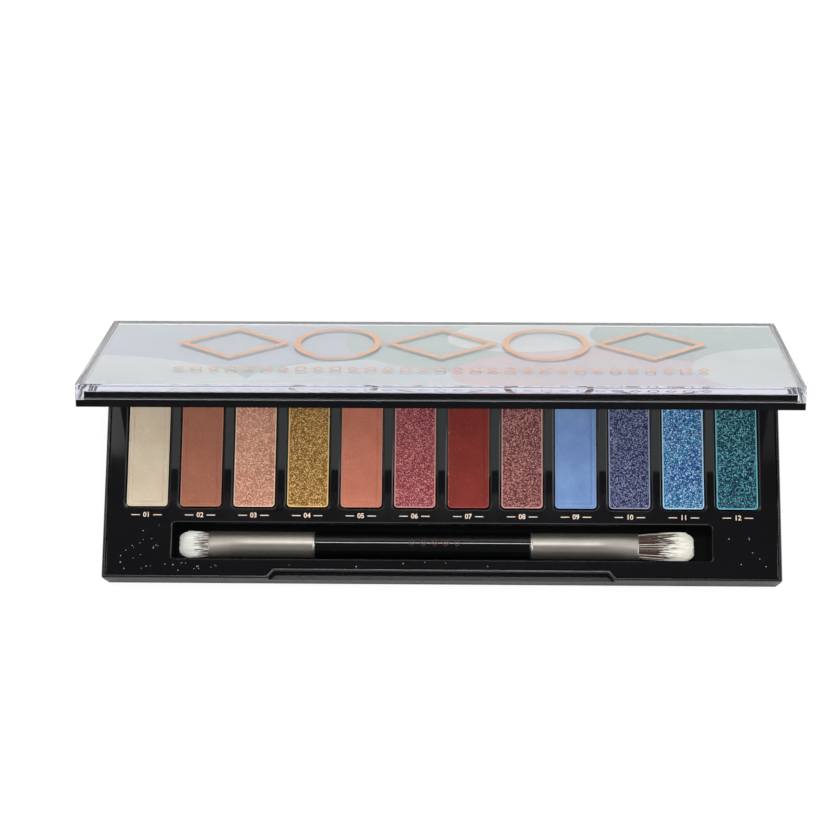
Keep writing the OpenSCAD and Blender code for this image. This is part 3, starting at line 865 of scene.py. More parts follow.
@dataclass
class Case:
    """The black tub with its tray, the printed numbers and what is hidden inside."""

    rim_z: float = 13.2
    tray_z: float = 13.05
    edge_round: float = 0.12
    border_round: float = 0.4
    count: int = 12
    pitch: float = 16.2
    number_y: float = -17.05
    number_size: float = 2.1
    bar_gap: float = 2.0
    bar_length: float = 2.6
    bar_width: float = 0.24
    print_height: float = 0.02
    print_bold: float = 0.03
    bar_round: float = 0.4
    # Beyond this x, y in front and y behind lies the tray's outer border
    border: Point = (99.5, -31.5, 26.0)
    speck_seed: int = 11
    speck_count: int = 46
    speck_radius: float = 0.12
    speck_bevel: float = 0.02
    speck_z: float = 0.05
    # Each patch of specks: the share of them up to its last one, its x, width, y and depth
    spills: tuple[tuple[float, ...], ...] = (
        (0.7, -97, 30, -34, 15), (0.85, 84, 15, -33, 12), (1.0, -60, 120, -33, 2)
    )
    # A speck's least size and what chance adds, and the same for its depth, then its height
    speck_size: tuple[float, float] = (0.75, 0.65)
    speck_shape: Point = (0.85, 0.2, 0.9)
    strip_x: tuple[float, float] = (-83.5, -66.0)
    strip: float = 2.5

    def is_border(self, place: Vector) -> bool:
        """True for a place at the tray's outer border, and not at a well's mouth."""
        side, front, rear = self.border
        return abs(place.x) > side or place.y < front or place.y > rear

    def pan_x(self, index: int) -> float:
        """The middle of pan number index, in millimetres."""
        return (index - (self.count - 1) / 2) * self.pitch

    def tub(self) -> None:
        """The tub: the CAD shell with the edges of its rim eased."""
        shell = merged_copy("base_shell", "base_tub")
        with editing(shell):
            ease(shell, at_place(self.rim_z), self.edge_round, 2)
        smooth(shell)
        hand_over(shell, "base", CASE_PLASTIC, ("base_shell",))

    def tray(self) -> None:
        """The tray: the CAD insert with its outer edge and well mouths eased."""
        tray = merged_copy("pan_tray", "tray_insert")
        with editing(tray):
            level = at_place(self.tray_z)
            ease(tray, lambda a, b: level(a, b) and self.is_border(a), self.border_round, 4)
            ease(tray, lambda a, b: level(a, b) and not self.is_border(a), self.edge_round, 2)
        smooth(tray)
        level_shading(tray, self.tray_z)
        hand_over(tray, "base", TRAY_PLASTIC, ("pan_tray",))

    def numbers(self) -> None:
        """Plain numbers between two short bars, printed below the pans."""
        for index in range(self.count):
            x = self.pan_x(index)
            bpy.ops.object.select_all(action="DESELECT")
            bpy.ops.object.text_add()
            text = bpy.context.active_object
            text.data.body = f"{index + 1:02d}"
            text.data.size = self.number_size * MM
            text.data.align_x = "CENTER"
            text.data.align_y = "CENTER"
            text.data.extrude = self.print_height / 2 * MM
            text.data.offset = self.print_bold * MM
            text.data.resolution_u = 3
            bpy.ops.object.convert(target="MESH")
            text = bpy.context.active_object
            text.location = metres(x, self.number_y, self.tray_z + self.print_height / 2)
            marks = [settle(text, f"number_{index + 1:02d}")]
            for side in (-1, 1):
                middle = x + side * (self.bar_gap + self.bar_length / 2)
                half = (self.bar_length / 2, self.bar_width / 2)
                low = (middle - half[0], self.number_y - half[1], self.tray_z)
                high = (middle + half[0], self.number_y + half[1], self.tray_z + self.print_height)
                bar = block("bar", low, high)
                with editing(bar):
                    ease(bar, upright, self.bar_width * self.bar_round, 2)
                marks.append(bar)
            mark = joined(f"number_{index + 1:02d}", marks)
            hand_over(mark, "base", NUMBER_FOIL)

    def specks(self) -> None:
        """Grains of spilt powder on the tray, most of them at its front left corner."""
        draw = np.random.default_rng(self.speck_seed)
        bpy.ops.object.select_all(action="DESELECT")
        bpy.ops.mesh.primitive_ico_sphere_add(subdivisions=1, radius=self.speck_radius * MM)
        grain = settle(bpy.context.active_object, "grain")
        with editing(grain):
            whole()
            bpy.ops.mesh.bevel(offset=self.speck_bevel * MM, segments=1, affect="VERTICES")
        grains = []
        for index in range(self.speck_count):
            left, wide, front, deep = next(
                spill[1:] for spill in self.spills if index < self.speck_count * spill[0]
            )
            x, y = left + wide * draw.random(), front + deep * draw.random()
            # At the front left the brush's well leaves only a strip of the border free
            if self.strip_x[0] < x < self.strip_x[1] and y > self.border[1]:
                y = front + self.strip * draw.random()
            twin = copied(grain, f"grain_{index}")
            size = self.speck_size[0] + self.speck_size[1] * draw.random() ** 2
            deep, varies, tall = self.speck_shape
            twin.scale = (size, size * (deep + varies * draw.random()), size * tall)
            twin.rotation_euler = (0.0, 0.0, draw.random() * math.tau)
            twin.location = metres(x, y, self.tray_z + self.speck_z)
            grains.append(settle(twin, f"grain_{index}"))
        bpy.data.objects.remove(grain)
        hand_over(joined("spilt_powder", grains), "base", SPECKS)

    def build(self) -> None:
        """Builds the case and dresses what is hidden in it."""
        self.tub()
        self.tray()
        self.numbers()
        self.specks()
        dress_node("hinge_pins", STEEL)
        dress_node("base_magnets", NICKEL)
        dress_node("pan_glue", HOT_GLUE)


@dataclass
class Pans:
    """The twelve stamped pans with their pressed powders."""

    case: Case
    wide: float = 12.4
    long: float = 38.0
    middle_y: float = 4.7
    rim_z: float = 12.6
    floor_z: float = 8.6
    wall: float = 0.35
    corner: float = 1.1
    foot_round: float = 0.5
    rim_round: float = 0.42
    play: float = 0.03
    lip_z: float = 12.5
    dust: float = 0.75
    # On the glitter pans the pale rim dust is partly a painted highlight: it draws the pale line
    # of the rim's reflection
    glitter_dust_and_highlight: float = 0.85
    pearl_dust: float = 0.7
    slope: tuple[tuple[float, float], ...] = (
        (0.05, 0.04), (0.75, 0.0), (0.12, -0.06), (0.2, -0.17), (0.2, -0.12), (0.3, -0.03),
        (1.4, -0.02)
    )
    # Each powder's two hues, the colour of its flakes, which is partly a painted glint, and how it
    # was pressed
    shades: tuple[tuple[str, str, str, Press], ...] = (
        ("#d9c8b0", "#d6c3a9", "#e7d7c1", Press.MATTE),
        ("#aa6c54", "#a46650", "#c1836b", Press.MATTE),
        ("#d18e76", "#c27e68", "#ffd8ba", Press.SATIN),
        ("#a07233", "#906025", "#fbd38a", Press.SHIMMER),
        ("#cc7c65", "#c4745d", "#da947c", Press.MATTE),
        ("#98404a", "#8d3644", "#eb9e9a", Press.SATIN),
        ("#8a3027", "#822b25", "#a24a45", Press.MATTE),
        ("#823f44", "#713340", "#e7aaa0", Press.SHIMMER),
        ("#7ea0d2", "#7595cc", "#91afe2", Press.MATTE),
        ("#2b3b5d", "#2e2f5c", "#9da5ca", Press.SHIMMER),
        ("#167db3", "#2062ae", "#bce6ff", Press.GLITTER),
        ("#093b4b", "#093a53", "#74c6d4", Press.GLITTER),
    )

    def pan(self) -> Object:
        """One stamped pan at the first place: a drawn box with a rolled rim."""
        x = self.case.pan_x(0)
        half_w, half_l = self.wide / 2, self.long / 2
        pan = block(
            "pan_tin_01", (x - half_w, self.middle_y - half_l, self.floor_z),
            (x + half_w, self.middle_y + half_l, self.rim_z)
        )
        with editing(pan):
            ease(pan, upright, self.corner, 6)
            pick_faces(pan, lambda middle, normal: normal.z > UP)
            bpy.ops.mesh.inset(thickness=self.wall * MM)
            pull(z=self.wall - (self.rim_z - self.floor_z))
            ease(pan, at_place(self.rim_z), self.wall * self.rim_round, 3)
            ease(pan, at_place(self.floor_z), self.foot_round, 3)
        return smooth(pan)

    def powder(self) -> Object:
        """The first pressed powder: a narrow lip along the pan, then a step down to the field."""
        x = self.case.pan_x(0)
        inset = self.wall + self.play
        half_w, half_l = self.wide / 2 - inset, self.long / 2 - inset
        powder = block(
            "powder_cake_01", (x - half_w, self.middle_y - half_l, self.floor_z + self.wall),
            (x + half_w, self.middle_y + half_l, self.lip_z)
        )
        with editing(powder):
            ease(powder, upright, self.corner - inset, 5)
            pick_faces(powder, lambda middle, normal: normal.z > UP)
            top = self.lip_z
            for inward, rise in self.slope:
                pull(z=rise)
                top += rise
                bpy.ops.transform.resize(
                    value=(1 - inward / half_w, 1 - inward / half_l, 1.0),
                    center_override=metres(x, self.middle_y, top),
                )
                half_w, half_l = half_w - inward, half_l - inward
        return smooth(powder, 40)

    def build(self) -> None:
        """Builds a pan and a powder once, and copies them to the other places."""
        pan, powder = self.pan(), self.powder()
        pans, cakes = [pan], [powder]
        for index in range(1, self.case.count):
            step = (index * self.case.pitch, 0.0, 0.0)
            pans.append(copied(pan, f"pan_tin_{index + 1:02d}", step))
            cakes.append(copied(powder, f"powder_cake_{index + 1:02d}", step))
        covers = {Press.MATTE: self.dust, Press.GLITTER: self.glitter_dust_and_highlight}
        for index, shade in enumerate(self.shades):
            number = f"{index + 1:02d}"
            *_, glint, press = shade
            finish = PressedPowder(f"pressed_powder_{number}", *shade)
            cover = covers.get(press, self.pearl_dust)
            tin = DrawnTin(f"drawn_tinplate_dusted_{number}", glint, cover)
            hand_over(pans[index], "base", tin, (f"pan_{number}",))
            node = f"powder_{number}"
            hand_over(cakes[index], "base", finish, (node,))


# ----------------------------------------
# Brush
# ----------------------------------------


@dataclass
class Tuft:
    """One end's hair: where it leaves the ferrule, which way it points and how it swells."""

    name: str
    root_x: float
    way: int
    length: float
    belly_y: float
    belly_z: float
    dome: float
    hairs: int
    finish: DyedHair
    seed: int
    root_y: float = 3.72
    root_z: float = 2.38
    tuck: float = 1.2


@dataclass
class Brush:
    """The double-ended brush: lacquered handle, two rings, two ferrules and two hair tufts."""

    axis_y: float = -25.1
    axis_z: float = 7.6
    radius: float = 3.95
    handle_low: float = -38.3
    handle_high: float = 26.9
    ring: float = 0.6
    ring_proud: float = 0.1
    left_ferrule: float = 31.6
    right_ferrule: float = 32.0
    crimp: float = 12.0
    crimp_y: float = 4.15
    crimp_z: float = 2.8
    crimp_lean: float = -12.0
    crimp_steps: int = 10
    crimp_even: float = 0.35
    shell: float = 0.35
    shell_depth: float = 4.0
    handle_round: float = 0.25
    ring_round: float = 0.22
    mouth_round: float = 0.12
    hair_radius: float = 0.078
    # The hairs stand round the middle from this share of the section outwards
    hollow: float = 0.35
    uneven: float = 0.07
    thicker: float = 0.4
    stray: float = 0.11
    belly_at: float = 0.72
    tip_close: float = 0.16
    mark_x: float = -2.0
    mark_step: float = 3.4
    mark_count: int = 5
    mark_tall: float = 1.15
    mark_stroke: float = 0.24
    mark_foil: float = 0.015
    mark_proud: float = 0.005
    mark_turn: float = 0.06
    heart_tone: float = 0.6
    # The heart's share of the tuft's width, height and length
    heart_fill: Point = (0.88, 0.86, 0.86)
    # Where along it its dome starts, how it bends, and what is left of its section
    heart_dome: Point = (0.55, 2.4, 0.08)
    sides: int = 72
    tufts: tuple[Tuft, ...] = field(
        default_factory=lambda: (
            Tuft("left", -70.5, -1, 9.2, 4.2, 2.9, 0.34, 1900, LEFT_HAIR, 3),
            Tuft("right", 59.5, 1, 17.0, 4.7, 3.17, 0.16, 2400, RIGHT_HAIR, 7),
        )
    )

    def rod(self, name: str, start: float, end: float, radius: float) -> Object:
        """A round rod along the brush's axis, drawn from a disc.

        Args:
            name: The piece's name.
            start: Where it starts along X.
            end: Where it ends along X.
            radius: Its radius.

        Returns:
            The rod.
        """
        rod = disc(name, (start, self.axis_y, self.axis_z), radius, self.sides, (0, 90, 0))
        with editing(rod):
            whole()
            pull(x=end - start)
            mend_normals()
        return rod

    def handle(self) -> None:
        """The handle, with eased ends, and its ring at each end."""
        handle = self.rod("brush_handle_rod", self.handle_low, self.handle_high, self.radius)
        with editing(handle):
            ease(handle, across, self.handle_round, 3)
        hand_over(smooth(handle), "brush", HANDLE, ("brush_handle",))
        for side, start in (("left", self.handle_low - self.ring), ("right", self.handle_high)):
            ring = self.rod(
                f"brush_ring_{side}", start, start + self.ring, self.radius + self.ring_proud
            )
            with editing(ring):
                ease(ring, across, self.ring_round, 4)
            hand_over(smooth(ring), "brush", COLLAR, (f"brush_collar_{side}",))

    def draw_out(
        self, start: float, way: int, first: float, radius: float, stations: list[Station]
    ) -> None:
        """Draws the selected disc out along the brush's axis, ring by ring, in edit mode.

        Args:
            start: The place along X that the reaches count from.
            way: 1 to the right, -1 to the left.
            first: The disc's own reach.
            radius: Its radius.
            stations: For each ring its reach, its half axes along Y and Z and its turn in degrees.
        """
        before, half_y, half_z, leant = first, radius, radius, 0.0
        for reach, new_y, new_z, lean in stations:
            pull(x=way * (reach - before))
            middle = metres(start + way * reach, self.axis_y, self.axis_z)
            if leant:
                turn_x(-leant, middle)
            ratios = (1.0, new_y / half_y, new_z / half_z)
            bpy.ops.transform.resize(value=ratios, center_override=middle)
            if lean:
                turn_x(lean, middle)
            before, half_y, half_z, leant = reach, new_y, new_z, lean

    def ferrule(self, side: str, start: float, way: int, length: float) -> None:
        """One ferrule, drawn ring by ring from its collar and pressed flat at its mouth.

        Args:
            side: "left" or "right".
            start: Where it leaves its collar.
            way: 1 to the right, -1 to the left.
            length: Its length.
        """
        middle = (start, self.axis_y, self.axis_z)
        name = f"brush_ferrule_tube_{side}"
        tube = disc(name, middle, self.radius, self.sides, (0, 90, 0))
        straight = length - self.crimp
        stations = [(straight, self.radius, self.radius, 0.0)]
        for step in range(1, self.crimp_steps + 1):
            t = step / self.crimp_steps
            soft = self.crimp_even * t + (1 - self.crimp_even) * t * t * (3 - 2 * t)
            half_y, half_z = (
                self.radius + soft * (end - self.radius) for end in (self.crimp_y, self.crimp_z)
            )
            reach = straight + t * self.crimp
            stations.append((reach, half_y, half_z, soft * self.crimp_lean))
        with editing(tube):
            whole()
            self.draw_out(start, way, 0.0, self.radius, stations)
            bpy.ops.mesh.inset(thickness=self.shell * MM)
            pull(x=-way * self.shell_depth)
            mend_normals()
            mouth = start + way * length
            ease(tube, at_place(mouth, "x"), self.mouth_round, 3)
        hand_over(smooth(tube), "brush", FERRULE, (f"brush_ferrule_{side}",))

    def strand(self) -> tuple[np.ndarray, list[tuple[int, ...]]]:
        """One tapered hair of unit length and radius, cut into four lengths.

        Returns:
            Its points and its faces.
        """
        bpy.ops.object.select_all(action="DESELECT")
        bpy.ops.mesh.primitive_cone_add(vertices=4, radius1=1.0, radius2=0.6, depth=1.0)
        hair = settle(bpy.context.active_object, "strand")
        with editing(hair):
            for cut in (-0.2, 0.1, 0.32):
                whole()
                bpy.ops.mesh.bisect(plane_co=(0, 0, cut), plane_no=(0, 0, 1))
        points = np.array([v.co for v in hair.data.vertices])
        faces = [tuple(face.vertices) for face in hair.data.polygons]
        bpy.data.objects.remove(hair)
        return points, faces

    def swell(self, tuft: Tuft, t: np.ndarray) -> tuple[np.ndarray, np.ndarray]:
        """The tuft's half axes at a share t of its length.

        Args:
            tuft: The tuft.
            t: Shares of the length, 0 at the ferrule.

        Returns:
            The half axes along Y and Z.
        """
        belly = self.belly_at
        rise = np.sin(np.clip(t, 0, belly) / belly * math.pi / 2)
        close = 1 - self.tip_close * np.clip((t - belly) / (1 - belly), 0, 1) ** 2
        return (
            (tuft.root_y + (tuft.belly_y - tuft.root_y) * rise) * close,
            (tuft.root_z + (tuft.belly_z - tuft.root_z) * rise) * close,
        )

    def tuft(self, tuft: Tuft) -> None:
        """A tuft: hundreds of copies of one strand over a solid heart."""
        strand, faces = self.strand()
        share = strand[:, 2] + 0.5
        lean = math.radians(self.crimp_lean)
        draw = np.random.default_rng(tuft.seed)
        points, tones, reaches, skins = [], [], [], []
        for _ in range(tuft.hairs):
            spread = math.sqrt(self.hollow + (1 - self.hollow) * draw.random())
            angle = draw.random() * math.tau
            length = tuft.length * (1 - tuft.dome * spread**5) * (1 - self.uneven * draw.random())
            reach = share * (length + tuft.tuck) - tuft.tuck
            t = np.clip(reach / tuft.length, 0, 1)
            half_y, half_z = self.swell(tuft, t)
            stray = draw.normal(0, self.stray, 2) * t[:, None] ** 2
            wide = self.hair_radius * (1.0 + self.thicker * draw.random())
            x = tuft.root_x + tuft.way * reach
            across = spread * half_y * math.cos(angle) + stray[:, 0] + strand[:, 0] * wide
            above = spread * half_z * math.sin(angle) + stray[:, 1] + strand[:, 1] * wide
            y = self.axis_y + across * math.cos(lean) - above * math.sin(lean)
            z = self.axis_z + across * math.sin(lean) + above * math.cos(lean)
            first = len(points) * len(strand)
            points.append(np.column_stack([x, y, z]))
            skins.extend(tuple(first + corner for corner in face) for face in faces)
            tones.append(np.full(len(strand), draw.random()))
            reaches.append(t)
        mesh = bpy.data.meshes.new(f"brush_tuft_{tuft.name}")
        mesh.from_pydata((np.concatenate(points) * MM).tolist(), [], skins)
        for name, values in (("strand", tones), ("reach", reaches)):
            held = mesh.attributes.new(name, "FLOAT", "POINT")
            held.data.foreach_set("value", np.concatenate(values).astype(np.float32))
        piece = bpy.data.objects.new(mesh.name, mesh)
        bpy.context.scene.collection.objects.link(piece)
        with editing(piece):
            whole()
            bpy.ops.mesh.normals_make_consistent(inside=False)
        heart = self.heart(tuft)
        piece = joined(f"brush_tuft_{tuft.name}", [piece, heart])
        select_only(piece)
        bpy.ops.object.shade_smooth_by_angle(angle=math.radians(50))
        hand_over(piece, "brush", tuft.finish, (f"brush_hair_{tuft.name}",))

    def heart(self, tuft: Tuft) -> Object:
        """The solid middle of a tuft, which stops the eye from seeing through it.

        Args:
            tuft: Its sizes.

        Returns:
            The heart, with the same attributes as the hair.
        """
        start = tuft.root_x - tuft.way * tuft.tuck
        heart = disc("heart", (start, self.axis_y, self.axis_z), tuft.root_z, 32, (0, 90, 0))
        (wide, tall, long), (dome_at, bend, least) = self.heart_fill, self.heart_dome
        stations = []
        for share in (0.0, 0.2, 0.4, 0.6, 0.75, 0.88, 0.96, 1.0):
            y, z = (float(v) for v in self.swell(tuft, np.array(share)))
            past = max(0.0, (share - dome_at) / (1 - dome_at))
            close = math.sqrt(max(least, 1 - past**bend))
            stations.append((share * tuft.length * long, y * wide * close, z * tall * close, 0.0))
        with editing(heart):
            whole()
            self.draw_out(tuft.root_x, tuft.way, -tuft.tuck, tuft.root_z, stations)
            whole()
            turn_x(self.crimp_lean, metres(start, self.axis_y, self.axis_z))
            mend_normals()
        values = [
            min(1.0, max(0.0, (v.co.x / MM - tuft.root_x) * tuft.way / tuft.length))
            for v in heart.data.vertices
        ]
        for name, held in (("strand", [self.heart_tone] * len(values)), ("reach", values)):
            heart.data.attributes.new(name, "FLOAT", "POINT").data.foreach_set("value", held)
        return heart

    def mark(self) -> None:
        """Five small lozenges printed along the top of the handle."""
        lozenges = []
        for place in range(self.mark_count):
            x = self.mark_x + self.mark_step * (place - self.mark_count // 2)
            piece = disc("lozenge", (x, 0.0, 0.0), 1.0, 4)
            piece.scale = (1.0, self.mark_tall, 1.0)
            settle(piece, "lozenge")
            with editing(piece):
                whole()
                bpy.ops.mesh.inset(thickness=self.mark_stroke * MM)
                bpy.ops.mesh.delete(type="FACE")
                whole()
                bpy.ops.mesh.subdivide(number_cuts=3)
                pull(z=self.mark_foil)
            for vertex in piece.data.vertices:
                turn = vertex.co.y / MM / self.radius + self.mark_turn
                out = self.radius + self.mark_proud + vertex.co.z / MM
                vertex.co.y = (self.axis_y + out * math.sin(turn)) * MM
                vertex.co.z = (self.axis_z + out * math.cos(turn)) * MM
            lozenges.append(piece)
        hand_over(joined("brush_handle_mark", lozenges), "brush", HANDLE_FOIL)

    def build(self) -> None:
        """Builds the brush from its handle outwards."""
        self.handle()
        self.mark()
        self.ferrule("left", self.handle_low - self.ring, -1, self.left_ferrule)
        self.ferrule("right", self.handle_high + self.ring, 1, self.right_ferrule)
        for tuft in self.tufts:
            self.tuft(tuft)


# ----------------------------------------
# Lid
# ----------------------------------------


@dataclass
class Lid:
    """The lid: black frame, mirror, clear cover, printed card and foil ornament.

    Heights count from the lid's underside and depths from its front edge, with the lid closed.
    """

    hinge: Hinge = HINGE
    half: float = 102.0
    deep: float = 74.6
    corner: float = 0.5
    flange: float = 2.0
    wall: float = 2.0
    plate_low: float = 4.3
    top: float = 6.6
    polish: float = 0.2
    foot: float = 0.15
    bond_inset: float = 0.6
    bond_low: float = 0.004
    bond_high: float = 0.02
    card_low: float = 4.0
    card_high: float = 4.25
    card_inset: float = 2.1
    card_side: float = 2.4
    card_rear: float = 3.2
    mirror_half: float = 92.0
    mirror_front: float = 9.2
    mirror_rear: float = 59.2
    mirror_low: float = 0.1
    mirror_high: float = 1.5
    card_corner: float = 0.6
    card_edge: float = 0.04
    glass_corner: float = 0.4
    glass_edge: float = 0.25
    stroke: float = 2.0
    fine_stroke: float = 0.55
    foil: float = 0.03
    band_low: float = 29.6
    band_high: float = 66.0
    # The widths are those of a lozenge and of a ring
    band_step: float = 31.0
    band_wides: tuple[float, float] = (34.0, 26.0)
    row_y: float = 18.0
    row_step: float = 5.0
    row_wides: tuple[float, float] = (3.4, 3.4)
    row_tall: float = 4.2
    blots: tuple[Blot, ...] = (
        Blot(-58, 52, 46, 30, 12, "#b9c4dc"), Blot(-96, 8, 44, 26, -14, "#e3ebec"),
        Blot(-22, 6, 34, 24, 8, "#dfe6ec"), Blot(10, 50, 40, 34, -18, "#9fbfba"),
        Blot(46, 20, 44, 26, 10, "#e0b9c6"), Blot(30, 62, 30, 20, 24, "#e9eef0"),
        Blot(84, 58, 40, 30, -10, "#86a8a4"), Blot(70, 4, 36, 20, 6, "#c9bfd8"),
        Blot(98, 22, 26, 24, 0, "#d8e4e0")
    )

    def at(self, x: float, y: float, z: float) -> Point:
        """A place on the lid as a point of the closed palette, in millimetres."""
        return x, self.hinge.front_y + y, self.hinge.lid_z + z

    def lid_block(self, name: str, low: Point, high: Point) -> Object:
        """A new block between its lowest and highest corner on the closed lid."""
        return block(name, self.at(*low), self.at(*high))

    def fit(self, piece: Object, slot: str, finish: Finish, *nodes: str) -> None:
        """Turns a piece that was built on the closed lid to rest, and hands it over."""
        hand_over(self.hinge.open(piece), "lid", finish, nodes)

    def frame_part(self) -> None:
        """The black frame: the CAD part as one skin, shaded smooth."""
        part = merged_copy("lid_frame", "lid_frame_moulding")
        smooth(part)
        hand_over(part, "lid", LID_PLASTIC, ("lid_frame",))

    def cover(self) -> None:
        """The clear cover: a box open to the frame, with polished edges."""
        cover = self.lid_block(
            "lid_clear_cover", (-self.half, 0.0, self.flange), (self.half, self.deep, self.top)
        )
        low_z = self.hinge.lid_z + self.flange
        high_z = self.hinge.lid_z + self.top
        with editing(cover):
            pick_faces(cover, lambda middle, normal: normal.z < -UP)
            bpy.ops.mesh.inset(thickness=self.wall * MM)
            pull(z=self.plate_low - self.flange)
            ease(cover, upright, self.corner, 4)
            ease(cover, at_place(high_z), self.polish, 1)
            ease(cover, at_place(low_z), self.foot, 1)
        smooth(cover, 15, weighted=False)
        self.fit(cover, "lid_cover", ACRYLIC, "lid_cover")

    def bond_and_painted_light(self) -> None:
        """The bond line under the cover's walls, wetted out into the acrylic, whose pale tone also
        paints the light seen in the clear walls.
        """
        edge = self.bond_inset
        film = self.lid_block(
            "lid_cover_bond_painted_light", (-self.half + edge, edge, self.flange + self.bond_low),
            (self.half - edge, self.deep - edge, self.flange + self.bond_high)
        )
        with editing(film):
            pick_faces(film, lambda middle, normal: abs(normal.z) > UP)
            bpy.ops.mesh.inset(thickness=(self.wall - 2 * edge) * MM)
            bpy.ops.mesh.bridge_edge_loops()
            mend_normals()
        self.fit(film, "lid_cover", BOND_AND_PAINTED_LIGHT)

    def card(self) -> None:
        """The printed card, with cut corners and a crisp edge."""
        side = self.half - self.card_side
        card = self.lid_block(
            "lid_printed_card", (-side, self.card_inset, self.card_low),
            (side, self.deep - self.card_rear, self.card_high)
        )
        with editing(card):
            ease(card, upright, self.card_corner, 3)
            ease(card, at_place(self.hinge.lid_z + self.card_high), self.card_edge, 1)
        smooth(card, weighted=False)
        finish = PrintedCard("printed_coated_card", blots=self.blots, placing=self.hinge)
        self.fit(card, "lid_art_card", finish, "lid_art_card")

    def mirror(self) -> None:
        """The mirror, with a ground edge."""
        glass = self.lid_block(
            "lid_mirror_glass", (-self.mirror_half, self.mirror_front, self.mirror_low),
            (self.mirror_half, self.mirror_rear, self.mirror_high)
        )
        with editing(glass):
            ease(glass, upright, self.glass_corner, 2)
            ease(glass, at_place(self.hinge.lid_z + self.mirror_low), self.glass_edge, 1)
        smooth(glass, 20, weighted=False)
        self.fit(glass, "lid_mirror", MIRROR, "lid_mirror")

    def motif(
        self, name: str, x: float, y: float, wide: float, tall: float, sides: int, stroke: float
    ) -> Object:
        """One outline of foil: a lozenge with four sides, or a ring.

        Args:
            name: The motif's name.
            x: Its middle from the lid's middle.
            y: Its middle from the lid's front edge.
            wide: Its width.
            tall: Its height.
            sides: How many sides it has.
            stroke: How wide its line is.

        Returns:
            The flat outline with its thickness.
        """
        shape = disc(name, (0.0, 0.0, 0.0), 1.0, sides)
        shape.scale = (wide / 2, tall / 2, 1.0)
        settle(shape, name)
        with editing(shape):
            whole()
            bpy.ops.mesh.inset(thickness=stroke * MM)
            bpy.ops.mesh.delete(type="FACE")
            whole()
            pull(z=self.foil)
            mend_normals()
        shape.location = metres(*self.at(x, y, self.top))
        return settle(shape, name)

    def ornament(self) -> None:
        """A plain band of lozenges and rings, with a row of small ones in front of it."""
        middle = (self.band_low + self.band_high) / 2
        tall = self.band_high - self.band_low
        marks = []
        for count, step, wides, high, y, rounds, stroke in (
            (5, self.band_step, self.band_wides, tall, middle, 64, self.stroke),
            (31, self.row_step, self.row_wides, self.row_tall, self.row_y, 20, self.fine_stroke),
        ):
            for place in range(count):
                x = (place - count // 2) * step
                sides = (4, rounds)[place % 2]
                marks.append(self.motif("motif", x, y, wides[place % 2], high, sides, stroke))
        self.fit(joined("lid_foil_ornament", marks), "lid_cover", GOLD_FOIL)

    def build(self) -> None:
        """Builds the lid from its frame outwards and dresses what is hidden in it."""
        self.frame_part()
        self.mirror()
        self.card()
        self.bond_and_painted_light()
        self.cover()
        self.ornament()
        dress_node("mirror_tape", FOAM_TAPE)
        dress_node("lid_magnets", NICKEL)


# ----------------------------------------
# Studio
# ----------------------------------------


@dataclass(frozen=True)
class Lamp:
    """One softbox: where it stands, its size in metres and its power in watts."""

    name: str
    place: Point
    aim: Point
    wide: float
    tall: float
    power: float


